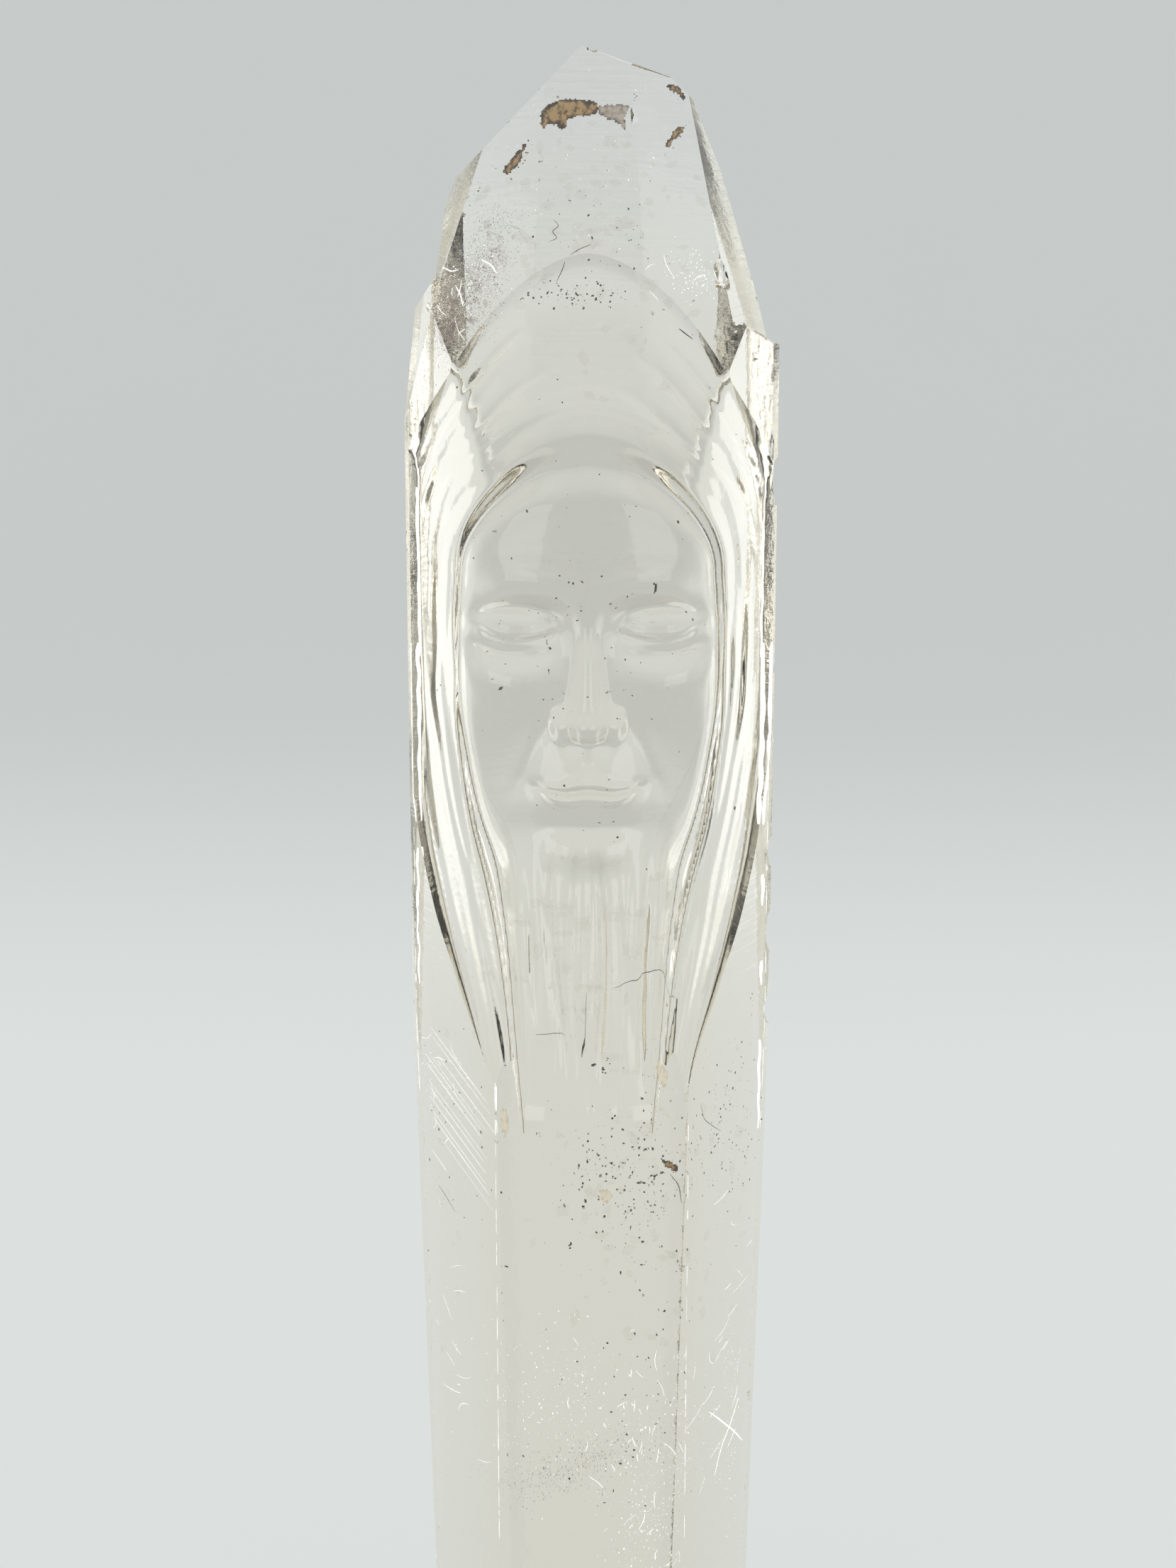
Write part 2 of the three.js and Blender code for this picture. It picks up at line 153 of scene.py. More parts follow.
SKULL_TOP, CHIN = 118.0, 80.0
HEAD = SKULL_TOP - CHIN
THIRD = HEAD * 0.84 / 3
EYES = CHIN + HEAD / 2
NOSE = CHIN + THIRD
BROW = CHIN + 2 * THIRD
MOUTH = NOSE - THIRD / 3
EYE = HEAD * 2 / 3 / 5
ARCH = 103.0
ARCH_POWER = 1.75
ARCH_IN, ARCH_OUT = (9.7, 9.3), (13.9, 21.5)
HALVINGS = 24
PRISM_SLOPE = math.tan(math.radians(60))
CARVED_FROM, CARVED_TO = 56.0, 127.0
CARVED_HALF_WIDTH = 14.8
DEEPEST = 1.0
CUTTER_FRONT = 20.0


def gauss(v):
    return np.exp(-v * v)


def groove(v):
    """A hump with a sharper top than gauss, for cuts."""
    return np.exp(-np.abs(v) ** 1.7)


def bump(x, z, at_x, at_z, wide, high):
    return gauss((x - at_x) / wide) * gauss((z - at_z) / high)


def step(a, b, v):
    """0 at a, 1 at b and smooth between them. With a over b it falls."""
    t = np.clip((v - a) / (b - a), 0, 1)
    return t * t * (3 - 2 * t)


def soft_min(a, b, k):
    """The lower of two heights, with the crease between them rounded over a length k."""
    t = np.clip(0.5 + 0.5 * (b - a) / k, 0, 1)
    return b + (a - b) * t - k * t * (1 - t)


def soft_max(a, b, k):
    return -soft_min(-a, -b, k)


def line(v, rows):
    """A smooth line through rows of (place, value) with rising places."""
    places = np.array([p for p, _ in rows], float)
    values = np.array([q for _, q in rows], float)
    slopes = np.diff(values) / np.diff(places)
    a, b = slopes[:-1], slopes[1:]
    tangents = np.concatenate([slopes[:1], np.where(a * b > 0, 2 * a * b / (a + b + 1e-12), 0), slopes[-1:]])
    u = np.clip(v, places[0], places[-1])
    i = np.clip(np.searchsorted(places, u, side="right") - 1, 0, len(places) - 2)
    w = places[i + 1] - places[i]
    t = (u - places[i]) / w
    start = (2 * t**3 - 3 * t**2 + 1) * values[i] + (t**3 - 2 * t**2 + t) * w * tangents[i]
    end = (3 * t**2 - 2 * t**3) * values[i + 1] + (t**3 - t**2) * w * tangents[i + 1]
    return start + end


def block(x, z, k):
    """The uncarved front, with its edges rounded over a length k."""
    right = -FRONT_Y - PRISM_SLOPE * (x - FRONT_RIGHT)
    left = -FRONT_Y - PRISM_SLOPE * (FRONT_LEFT - x)
    top = -FRONT_Y - math.tan(math.radians(RHOMB_LEAN)) * (z - SHOULDER_Z)
    return soft_min(soft_min(soft_min(-FRONT_Y, right, k), left, k), top, k)


FACE_WIDTH = (
    (76, 3.4), (80, 5.4), (83, 7.0), (87, 8.4), (91, 9.3),
    (96, 9.9), (101, 9.9), (105, 9.3), (109, 8.0), (112, 6.0),
)
FACE_HEIGHT = (
    (76, 10.0), (80, 10.2), (84, 10.0), (88, 9.8), (92, 9.6), (96, 9.6),
    (100, 9.9), (104, 10.5), (108, 10.6), (112, 9.9), (116, 7.6),
)
NOSE_HEIGHT = (
    (NOSE - 1.2, 9.7), (NOSE + 0.1, 11.1), (NOSE + 1.4, 11.75), (NOSE + 3, 11.45),
    (EYES - 2.2, 10.7), (EYES + 0.6, 9.95), (BROW + 0.6, 10.2), (BROW + 3.5, 10.3),
)
NOSE_WIDTH = (
    (NOSE, 1.45), (NOSE + 1.3, 1.6), (NOSE + 3.4, 1.15),
    (EYES - 1, 0.95), (EYES + 1.2, 1.3), (BROW + 2, 2.6),
)


def add_eyes(h, a, z):
    """Sockets, the eyeballs under their closed lids, the lash seams and the creases over them."""
    h = h - 1.4 * bump(a, z, EYE - 0.1, EYES + 0.3, 3.4, 2.4)
    h = h - 0.35 * bump(a, z, 2.6, EYES + 0.5, 1.3, 2.0)
    ball = 9.05 - 1.35 * (((a - EYE) / 3) ** 2 + ((z - EYES + 0.1) / 2) ** 2)
    h = soft_max(h, ball, 0.55)
    over = (a - EYE) / (EYE * 0.52)
    on = step(1.15, 0.85, np.abs(over))
    seam = EYES - 0.55 - 0.5 * (1 - over**2)
    h = h - 0.34 * gauss((z - seam) / 0.22) * on
    h = h + 0.14 * gauss((z - seam - 0.5) / 0.32) * on
    crease = EYES + 1.45 - 0.55 * over**2
    h = h - 0.26 * gauss((z - crease) / 0.28) * step(1.3, 0.7, np.abs(over))
    below = EYES - 2.3 + 0.4 * over**2
    return h - 0.2 * gauss((z - below) / 0.45) * step(1.15, 0.4, np.abs(over))


def add_nose(h, a, z):
    """The ridge, tip and wings, with the hollows beside and under them."""
    fade = 3 * step(BROW - 0.5, BROW + 3.5, z) + 3 * step(NOSE + 0.3, NOSE - 1.1, z)
    ridge = line(z, NOSE_HEIGHT) - 1.2 * (a / line(z, NOSE_WIDTH)) ** 2 - fade
    tip = 11.85 - 1.5 * ((a / 1.5) ** 2 + ((z - NOSE - 1.35) / 1.45) ** 2)
    wing = 10.6 - (((a - 1.85) / 1.0) ** 2 + ((z - NOSE - 1.1) / 1.4) ** 2)
    h = soft_max(soft_max(soft_max(h, ridge, 0.8), tip, 0.6), wing, 0.6)
    h = h - 0.18 * gauss((a - 3) / 0.4) * gauss((z - NOSE - 1.1) / 1.2)
    h = h - 0.25 * bump(a, z, 1.0, NOSE - 0.35, 0.6, 0.45)
    return h - 0.2 * bump(a, z, 0, NOSE - 1.6, 0.55, 1.0)


def add_mouth(h, a, z):
    """Two closed lips, their corners and the folds beside them."""
    m = a / 3.7
    seam = MOUTH + 0.1 * np.cos(a * 1.7) - 0.05 * m**2
    span = np.sqrt(np.clip(1 - m**2, 0, 1))
    upper = np.maximum(1.1 * span * (0.84 + 0.16 * np.cos((a - 0.95) * 2)), 0.08)
    lower = np.maximum(1.45 * span, 0.08)
    on = step(1.05, 0.8, m)
    top_lip = 0.45 * gauss(((z - seam) / upper - 0.42) / 0.48)
    low_lip = 0.55 * gauss(((seam - z) / lower - 0.42) / 0.48)
    h = h + np.where(z > seam, top_lip, low_lip) * on
    h = h - 0.42 * gauss((z - seam) / 0.24) * step(1.15, 0.9, m)
    h = h - 0.28 * bump(a, z, 4.05, MOUTH, 0.6, 0.7)
    fold = 3.1 + 0.42 * (NOSE + 1.2 - z)
    along = step(MOUTH - 1.8, MOUTH + 1, z) * step(NOSE + 2.4, NOSE + 0.4, z)
    return h - 0.22 * gauss((a - fold) / 0.6) * along


def face_height(x, z):
    """The bare face: a broad curve with cheeks and brows, and then its parts."""
    a = np.abs(x)
    h = line(z, FACE_HEIGHT) - 3.6 * (a / (line(z, FACE_WIDTH) + 0.4)) ** 2.3
    h = h + 0.7 * bump(a, z, 6.9, EYES - 4.2, 3.0, 2.4)
    h = h - 0.4 * bump(a, z, 7.0, MOUTH + 1.2, 2.6, 3.2)
    h = h - 0.4 * bump(a, z, 9.4, EYES + 4.0, 1.8, 3.5)
    brow = BROW + 0.9 - 0.05 * (a - 4) ** 2
    full = 0.45 + 0.3 * bump(a, z, 3.8, BROW, 3.0, 9)
    h = h + full * gauss((z - brow) / 1.45) * step(9.5, 6.0, a)
    h = add_eyes(h, a, z)
    h = h + 0.9 * bump(a, z, 0, MOUTH + 0.2, 4.8, 3.8)
    h = h - 0.45 * gauss((z - MOUTH + 3) / 0.9) * step(4.5, 1.2, a)
    h = h + 0.8 * bump(a, z, 0, CHIN + 1.9, 3.2, 2.0)
    return add_mouth(add_nose(h, a, z), a, z)


HAIR_IN = (
    (60, 5.0), (66, 5.5), (72, 6.0), (76, 6.5), (80, 7.3),
    (84, 8.5), (88, 9.3), (93, 9.9), (98, 10.0), (103, 9.7),
)
HAIR_OUT = (
    (60, 6.9), (65.5, 7.6), (71, 9.2), (76.6, 10.9),
    (82, 12.1), (88, 13.0), (95, 13.7), (103, 13.9),
)


def across_hair(x, z):
    """0 on the face's edge, 1 on the hair's outer edge, along arches that come down as two falls."""
    a = np.abs(x)
    inner = line(z, HAIR_IN)
    fall = (a - inner) / (line(z, HAIR_OUT) - inner)
    low, high = np.full_like(a, -2.2), np.full_like(a, 3.0)
    for _ in range(HALVINGS):
        middle = (low + high) / 2
        wide = np.maximum(ARCH_IN[0] + (ARCH_OUT[0] - ARCH_IN[0]) * middle, 0.05)
        tall = np.maximum(ARCH_IN[1] + (ARCH_OUT[1] - ARCH_IN[1]) * middle, 0.05)
        rise = np.maximum(z - ARCH, 0) / tall
        outside = (a / wide) ** ARCH_POWER + rise**ARCH_POWER > 1
        low, high = np.where(outside, middle, low), np.where(outside, high, middle)
    return np.where(z > ARCH, (low + high) / 2, fall)


# The cuts between the locks: the side, the place across the hair at the top and at the foot,
# how far from the middle it starts, the height where it ends, its depth and its half width
LOCK_CUTS = (
    (1, 0.80, 0.84, 4.4, 67.0, 0.54, 0.50),
    (1, 0.62, 0.60, 2.6, 63.5, 0.5, 0.42),
    (1, 0.50, 0.42, 6.2, 86.0, 0.36, 0.30),
    (1, 0.36, 0.34, 1.6, 66.0, 0.54, 0.45),
    (1, 0.22, 0.16, 4.6, 62.0, 0.5, 0.34),
    (1, 0.10, 0.10, 2.8, 92.0, 0.33, 0.30),
    (-1, 0.84, 0.80, 3.2, 69.0, 0.5, 0.42),
    (-1, 0.68, 0.66, 5.2, 64.5, 0.58, 0.50),
    (-1, 0.52, 0.56, 2.2, 88.0, 0.4, 0.34),
    (-1, 0.42, 0.38, 3.9, 67.5, 0.5, 0.38),
    (-1, 0.26, 0.22, 1.4, 63.0, 0.58, 0.48),
    (-1, 0.12, 0.06, 5.4, 74.0, 0.33, 0.30),
)


def hair_span(z):
    """Millimetres across the hair, from the face to its outer edge."""
    return 3.6 + 8.3 * step(103, 121, z)


def lock_cuts(x, z, t):
    """How deep the cuts between the locks are, less beside the temples."""
    cut = np.zeros_like(x)
    calm = 1 - 0.9 * bump(np.abs(x), z, 8.4, 110, 2.8, 9)
    for side, top, foot, start, end, deep, wide in LOCK_CUTS:
        place = foot + (top - foot) * step(78, 116, z) + 0.03 * np.sin(z * 0.21 + top * 20)
        begins = step(start, start + 7, np.abs(x) + 8 * step(108, 98, z))
        ends = step(end, end + 7, z)
        cut += deep * groove((t - place) * hair_span(z) / wide) * begins * ends * calm * (np.sign(x) == side)
    return cut


def strands(across, z, period, deep):
    """Fine combed lines that wander a little and fade in and out along their length."""
    wander = 0.28 * np.sin(0.31 * z + 0.7 * across) + 0.12 * np.sin(0.83 * z + 2.1 * across)
    strength = 0.6 + 0.4 * np.sin(0.45 * z + 2.7 * across)
    return deep * strength * (0.5 + 0.5 * np.sin(2 * math.pi * (across + wander) / period))


def hair_height(x, z, t):
    """Locks sunk a little into the block, which rise out of it past their outer edge and at their foot."""
    ends = step(61, 71, z)
    roll = 0.55 * (1 - np.sin(np.pi * np.clip(t, 0, 1)) ** 0.6) * step(64, 76, z)
    border = 0.45 * gauss((t - 0.95) * hair_span(z) / 0.95) * ends
    lift = 3 * step(1.0, 1.6, t) + 0.9 * (1 - ends) + 2.5 * step(63, 57, z)
    faint = 1 - 0.75 * step(107, 117, z) * step(0.35, 0.85, t)
    rounding = 2.6 - 1.6 * step(108, 117, z) * step(0.6, 1.0, t)
    combed = strands(t * hair_span(z), z, 0.95, 0.1)
    combed = combed * step(66, 76, z) * step(118, 108, z) * step(0.02, 0.2, t)
    sunk = (0.45 * ends + roll + border) * faint + lock_cuts(x, z, t) + combed
    return block(x, z, rounding) + 0.12 - sunk + lift


BEARD_HEIGHT = ((55, 12.6), (62, 12.25), (68, 11.95), (74, 11.5), (80, 10.95), (86, 10.5))
BEARD_WIDTH = ((57, 2.5), (62, 4.4), (68, 5.2), (75, 5.6), (80, 6.0), (84, 7.0))
BEARD_CUTS = 9


def beard_cuts(x, z):
    """How deep the wavy cuts down the beard are."""
    cut = np.zeros_like(x)
    for i in range(BEARD_CUTS):
        root = -4.6 + i * 1.13 + 0.25 * math.sin(i * 2.3)
        top = 84 - 0.1 * root**2 + 1.5 * math.sin(i * 1.9)
        end = 59 + 0.2 * (root - 0.7) ** 2 + 4 * (0.5 + 0.5 * math.sin(i * 2.7 + 1))
        sway = 0.22 * np.sin(z * 0.27 + i * 1.3) + 0.4 * (80 - z) / 25
        place = root * (0.84 + 0.16 * step(60, 80, z)) + sway
        wide = 0.3 + 0.14 * math.sin(i * 3.1) ** 2
        deep = 0.42 + 0.2 * math.sin(i * 4.1)
        cut += deep * groove((x - place) / wide) * step(end, end + 6, z) * step(top + 1, top - 7, z)
    return cut


def beard_height(x, z):
    """A flat beard that comes forward as it falls, with a sunk border at both sides."""
    a = np.abs(x)
    body = soft_min(line(z, BEARD_HEIGHT) - 0.035 * a**2, block(x, z, 2.4) + 0.1, 0.4)
    side = 1.9 * step(62, 76, z) * gauss((a - line(z, BEARD_WIDTH) - 0.75) / 0.8)
    combed = strands(x, z, 0.8, 0.07) * step(60, 68, z) * step(83, 76, z)
    return body - side - combed + 2.5 * step(63, 56, z)


def carved_height(x, z):
    """The carved surface. Where it stands over the crystal, the crystal is left as it grew."""
    a = np.abs(x)
    t = across_hair(x, z)
    skin = face_height(x, z) - 0.55 * gauss((t + 0.09) / 0.13) * step(66, 83, z)
    low = step(85.5, 78.5, z + 0.12 * a**1.3)
    middle = skin * (1 - low) + beard_height(x, z) * low - beard_cuts(x, z)
    edge = step(-0.1, 0.1, t)
    return np.maximum(middle * (1 - edge) + hair_height(x, z, t) * edge, DEEPEST)


# Meshes

def new_object(name, data):
    """An object in the scene with the data."""
    piece = bpy.data.objects.new(name, data)
    bpy.context.scene.collection.objects.link(piece)
    return piece


def mesh_object(name, points, faces):
    """A mesh object from points in millimetres."""
    mesh = bpy.data.meshes.new(name)
    mesh.from_pydata([tuple(p) for p in np.asarray(points) * MM], [], faces)
    mesh.validate()
    return new_object(name, mesh)


def bmesh_object(name, bm):
    """A mesh object from a bmesh, which is freed."""
    mesh = bpy.data.meshes.new(name)
    bm.to_mesh(mesh)
    bm.free()
    return new_object(name, mesh)


def hulls_object(name, groups):
    """The convex hull of each group of points in millimetres, as one object."""
    bm = bmesh.new()
    for points in groups:
        verts = [bm.verts.new(p * MM) for p in points]
        found = bmesh.ops.convex_hull(bm, input=verts)
        unused = found["geom_interior"] + found["geom_unused"]
        loose = {v for v in unused if isinstance(v, bmesh.types.BMVert)}
        bmesh.ops.delete(bm, geom=list(loose), context="VERTS")
    bmesh.ops.recalc_face_normals(bm, faces=bm.faces[:])
    return bmesh_object(name, bm)


def settle(piece):
    """Applies a piece's modifiers to its mesh."""
    graph = bpy.context.evaluated_depsgraph_get()
    mesh = bpy.data.meshes.new_from_object(piece.evaluated_get(graph))
    piece.modifiers.clear()
    piece.data = mesh


def combine(piece, tool, operation, tag):
    """Joins or cuts a piece with a tool whose faces carry a tag, and removes the tool."""
    tool.data.materials.append(bpy.data.materials.get(tag) or bpy.data.materials.new(tag))
    cut = piece.modifiers.new("cut", "BOOLEAN")
    cut.object = tool
    cut.operation = operation
    cut.solver = "MANIFOLD"
    cut.material_mode = "TRANSFER"
    settle(piece)
    bpy.data.objects.remove(tool)


def waste_object(spacing):
    """The waste in front of the carving, as one closed mesh."""
    columns = np.arange(-CARVED_HALF_WIDTH, CARVED_HALF_WIDTH + spacing / 2, spacing)
    rows = np.arange(CARVED_FROM, CARVED_TO + spacing / 2, spacing)
    x, z = np.meshgrid(columns, rows)
    y = -carved_height(x, z)
    nx, nz = len(columns), len(rows)
    points = np.stack([x, y, z], -1).reshape(-1, 3)
    box = [(columns[i], -CUTTER_FRONT, rows[j]) for j in (0, -1) for i in (0, -1)]
    k = np.arange(nx * nz).reshape(nz, nx)
    a, b, c, d = k[:-1, :-1], k[1:, :-1], k[1:, 1:], k[:-1, 1:]
    flat = np.abs(y[:-1, :-1] - y[1:, 1:]) < np.abs(y[1:, :-1] - y[:-1, 1:])
    one = np.where(flat[..., None], np.stack([a, b, c], -1), np.stack([b, c, d], -1))
    two = np.where(flat[..., None], np.stack([a, c, d], -1), np.stack([b, d, a], -1))
    faces = one.reshape(-1, 3).tolist() + two.reshape(-1, 3).tolist()
    left_low, right_low, left_high, right_high = range(nx * nz, nx * nz + 4)
    faces.append([left_low, right_low, right_high, left_high])
    faces.append([right_low, left_low] + k[0, :].tolist())
    faces.append([left_high, right_high] + k[-1, ::-1].tolist())
    faces.append([left_low, left_high] + k[::-1, 0].tolist())
    faces.append([right_high, right_low] + k[:, -1].tolist())
    return mesh_object("waste", np.concatenate([points, box]), faces)


def sharp_edges(piece, angle):
    """The ends, in millimetres, and the outward direction of each edge sharper than an angle in degrees."""
    bm = bmesh.new()
    bm.from_mesh(piece.data)
    found = []
    for edge in bm.edges:
        if len(edge.link_faces) == 2 and edge.calc_face_angle(0) > math.radians(angle):
            out = (edge.link_faces[0].normal + edge.link_faces[1].normal).normalized()
            ends = sorted(tuple(round(c / MM, 4) for c in v.co) for v in edge.verts)
            found.append((np.array(ends[0]), np.array(ends[1]), np.array(out)))
    bm.free()
    return sorted(found, key=lambda e: tuple(np.round(e[0] + 0.37 * e[1], 3)))


# Small chips: points in each, the shortest edge that has any, the height under which there are none,
# and the least gap between two
CHIP_POINTS = 14
CHIPPED_LENGTH = 1.5
CHIPPED_FROM = 2.0
CHIP_GAP = 0.02


def flake_points(rng, middle, along, out, long, wide, deep):
    """Points of a rough lens: long beside an edge, wide across it."""
    side = np.cross(along, out)
    turn = rng.normal(size=(CHIP_POINTS, 3))
    turn /= np.linalg.norm(turn, axis=1)[:, None]
    turn *= rng.uniform(0.8, 1.0, size=(CHIP_POINTS, 1))
    return middle + turn[:, :1] * along * long + turn[:, 1:2] * side * wide + turn[:, 2:] * out * deep


def chip_lenses(edges, per_mm, rng):
    """The points of small lenses along the edges, none touching another."""
    kept = []
    for start, end, out in edges:
        length = float(np.linalg.norm(end - start))
        if length < CHIPPED_LENGTH or max(start[2], end[2]) < CHIPPED_FROM:
            continue
        along = (end - start) / length
        for _ in range(rng.poisson(length * per_mm)):
            size = 0.2 + 0.8 * rng.random() ** 4
            middle = start + (end - start) * rng.random() + out * size * rng.uniform(0.45, 0.8)
            long = size * rng.uniform(1.0, 2.6)
            points = flake_points(rng, middle, along, out, long, size * rng.uniform(0.9, 1.5), size)
            radius = np.linalg.norm(points - middle, axis=1).max()
            if all(np.linalg.norm(middle - m) > radius + r + CHIP_GAP for m, r, _ in kept):
                kept.append((middle, radius, points))
    return [points for _, _, points in kept]


# The larger breaks along the edges: centre, radii, and turn about the vertical
BREAKS = (
    ((10.2, -2.9, 125.4), (1.3, 1.2, 2.6), -20),
    ((12.6, -5.4, 119.2), (0.9, 1.1, 1.9), -40),
    ((14.9, -1.1, 108.5), (1.3, 1.6, 2.4), 0),
    ((14.75, -0.9, 73.2), (1.05, 1.3, 2.2), 10),
    ((14.8, -0.8, 66.8), (1.2, 1.5, 1.5), 0),
    ((14.65, -1.0, 79.6), (0.95, 1.2, 1.6), 0),
    ((-12.9, -3.6, 121.9), (1.4, 1.5, 1.2), 20),
    ((-14.7, -0.6, 118.6), (1.1, 1.6, 1.4), 0),
    ((-14.9, 0.4, 112.6), (1.3, 1.7, 1.2), 0),
    ((-14.75, 0.4, 66.4), (1.05, 1.3, 1.1), 0),
    ((-7.3, -12.9, 22.4), (1.0, 1.1, 1.7), 30),
    ((7.6, -12.9, 38.6), (0.9, 1.1, 1.3), -30),
)


def break_object(rng):
    """The larger breaks as one tool, each a faceted shell with the ripples of a glassy break."""
    bm = bmesh.new()
    for at, radii, turn in BREAKS:
        place = Matrix.Translation(Vector(at) * MM) @ Matrix.Rotation(math.radians(turn), 4, "Z")
        made = bmesh.ops.create_icosphere(bm, subdivisions=3, radius=1.0, matrix=Matrix())
        for vert in made["verts"]:
            ripple = 1 + 0.03 * math.sin(9 * vert.co.z + 4 * vert.co.x) + 0.015 * rng.normal()
            vert.co = place @ (Vector(c * r for c, r in zip(vert.co, radii)) * ripple * MM)
    return bmesh_object("breaks", bm)


# Finishes

QUARTZ_IOR = 1.544


def new_material(name):
    """An empty node material with a shader and an output, already linked."""
    material = bpy.data.materials.new(name)
    material.use_nodes = True
    tree = material.node_tree
    tree.nodes.clear()
    output = tree.nodes.new("ShaderNodeOutputMaterial")
    shader = tree.nodes.new("ShaderNodeBsdfPrincipled")
    tree.links.new(shader.outputs["BSDF"], output.inputs["Surface"])
    return material, tree, shader, output


def feed(tree, made, values):
    """Sets a node's inputs, by name or number, and links those whose value is another node's output."""
    for socket, value in values.items():
        if isinstance(value, bpy.types.NodeSocket):
            tree.links.new(value, made.inputs[socket])
        else:
            made.inputs[socket].default_value = value
    return made


def math_node(tree, operation, *values):
    made = tree.nodes.new("ShaderNodeMath")
    made.operation = operation
    return feed(tree, made, dict(enumerate(values))).outputs[0]


def smooth_ramp(tree, value, start, end):
    """0 up to a start, 1 from an end on, and smooth between them."""
    made = tree.nodes.new("ShaderNodeMapRange")
    made.interpolation_type = "SMOOTHSTEP"
    return feed(tree, made, {"From Min": start, "From Max": end, "Value": value}).outputs["Result"]


def color_ramp(tree, value, stops):
    """Colours along a value, from rising pairs of a place and a colour."""
    made = feed(tree, tree.nodes.new("ShaderNodeValToRGB"), {"Fac": value})
    elements = made.color_ramp.elements
    for i, (place, color) in enumerate(stops):
        stop = elements[i] if i < len(elements) else elements.new(place)
        stop.position, stop.color = place, (*color, 1)
    return made.outputs["Color"]


def face_value(tree, name):
    """A value that the mesh stores for each face or point."""
    made = tree.nodes.new("ShaderNodeAttribute")
    made.attribute_name = name
    return made.outputs["Fac"]


def noise(tree, per_mm, detail, roughness=0.5):
    """Noise in the piece's own axes, with its waves per millimetre on each axis."""
    place = tree.nodes.new("ShaderNodeTexCoord").outputs["Object"]
    scale = [s / MM for s in per_mm]
    mapping = feed(tree, tree.nodes.new("ShaderNodeMapping"), {"Vector": place, "Scale": scale})
    values = {"Vector": mapping.outputs["Vector"], "Scale": 1.0, "Detail": detail, "Roughness": roughness}
    return feed(tree, tree.nodes.new("ShaderNodeTexNoise"), values).outputs["Fac"]


def quartz_material(look):
    """Clear quartz: polished faces with faint growth lines, and a fine-ground carving."""
    material, tree, shader, output = new_material("clear_quartz")
    carved = face_value(tree, "carved")
    worn = math_node(tree, "MULTIPLY", noise(tree, (0.35, 0.35, 0.2), 4.0), look.face_roughness)
    ground = math_node(tree, "MULTIPLY", carved, look.carved_roughness)
    lines = noise(tree, (0.12, 0.12, 2.6), 3.0, 0.6)
    grown = math_node(tree, "MULTIPLY", lines, math_node(tree, "SUBTRACT", 1.0, carved))
    uneven = math_node(tree, "MULTIPLY", noise(tree, (1.1, 1.1, 1.1), 3.0), 0.6)
    relief = feed(tree, tree.nodes.new("ShaderNodeBump"), {
        "Strength": 1.0,
        "Distance": look.growth_lines,
        "Height": math_node(tree, "ADD", grown, uneven),
    })
    feed(tree, shader, {
        "Base Color": (1, 1, 1, 1),
        "Transmission Weight": 1.0,
        "IOR": QUARTZ_IOR,
        "Roughness": math_node(tree, "ADD", worn, ground),
        "Normal": relief.outputs["Normal"],
    })
    absorption = feed(tree, tree.nodes.new("ShaderNodeVolumeAbsorption"), {
        "Density": look.tint_density,
        "Color": (*look.tint, 1),
    })
    feed(tree, output, {"Volume": absorption.outputs["Volume"]})
    return material


# Settings

class QuartzLook(PropertyGroup):
    """The finish of the crystal and of its marks."""

    tint: FloatVectorProperty(
        name="Tint", description="Colour that passes through the crystal",
        subtype="COLOR", default=(0.84, 0.765, 0.59), min=0, max=1,
    )
    tint_density: FloatProperty(
        name="Tint density", description="How fast the tint takes hold, per metre", default=25.0, min=0,
    )
    stain: FloatVectorProperty(
        name="Stain", description="Colour of the iron stains",
        subtype="COLOR", default=(0.47, 0.32, 0.14), min=0, max=1,
    )
    # Painted light: how strongly the stains glow, standing in for the light that comes through them
    stain_painted_glow: FloatProperty(
        name="Stain glow", description="Light that comes through the stains", default=0.3, min=0,
    )
    cloud: FloatVectorProperty(
        name="Cloud", description="Colour of the dusky cloud",
        subtype="COLOR", default=(0.33, 0.235, 0.205), min=0, max=1,
    )
    # Painted light: how strongly the milky flecks and white tubes glow, standing in for the light they
    # scatter
    milk_painted_glow: FloatProperty(
        name="Milk glow", description="Light scattered by the milky marks", default=0.9, min=0,
    )
    face_roughness: FloatProperty(
        name="Face roughness", description="Roughness of the growth faces", default=0.03, min=0, max=1,
    )
    carved_roughness: FloatProperty(
        name="Carving roughness", description="Added roughness of the carving", default=0.07, min=0, max=1,
    )
    growth_lines: FloatProperty(
        name="Growth lines", description="Height of the growth lines",
        default=0.000025, min=0, unit="LENGTH", precision=6,
    )


class QuartzShape(PropertyGroup):
    """The crystal's fine shape."""

    carving_step: FloatProperty(
        name="Carving step", description="Spacing of the points of the carving",
        default=0.00016, min=0.0001, unit="LENGTH", precision=5,
    )
    edge_round: FloatProperty(
        name="Edge round", description="Width of the worn edges",
        default=0.0001, min=0, unit="LENGTH", precision=5,
    )
    chips_per_mm: FloatProperty(
        name="Chips per mm", description="Small breaks along each millimetre of edge", default=0.9, min=0,
    )
    seed: IntProperty(name="Seed", description="Seed of the breaks and marks", default=11)


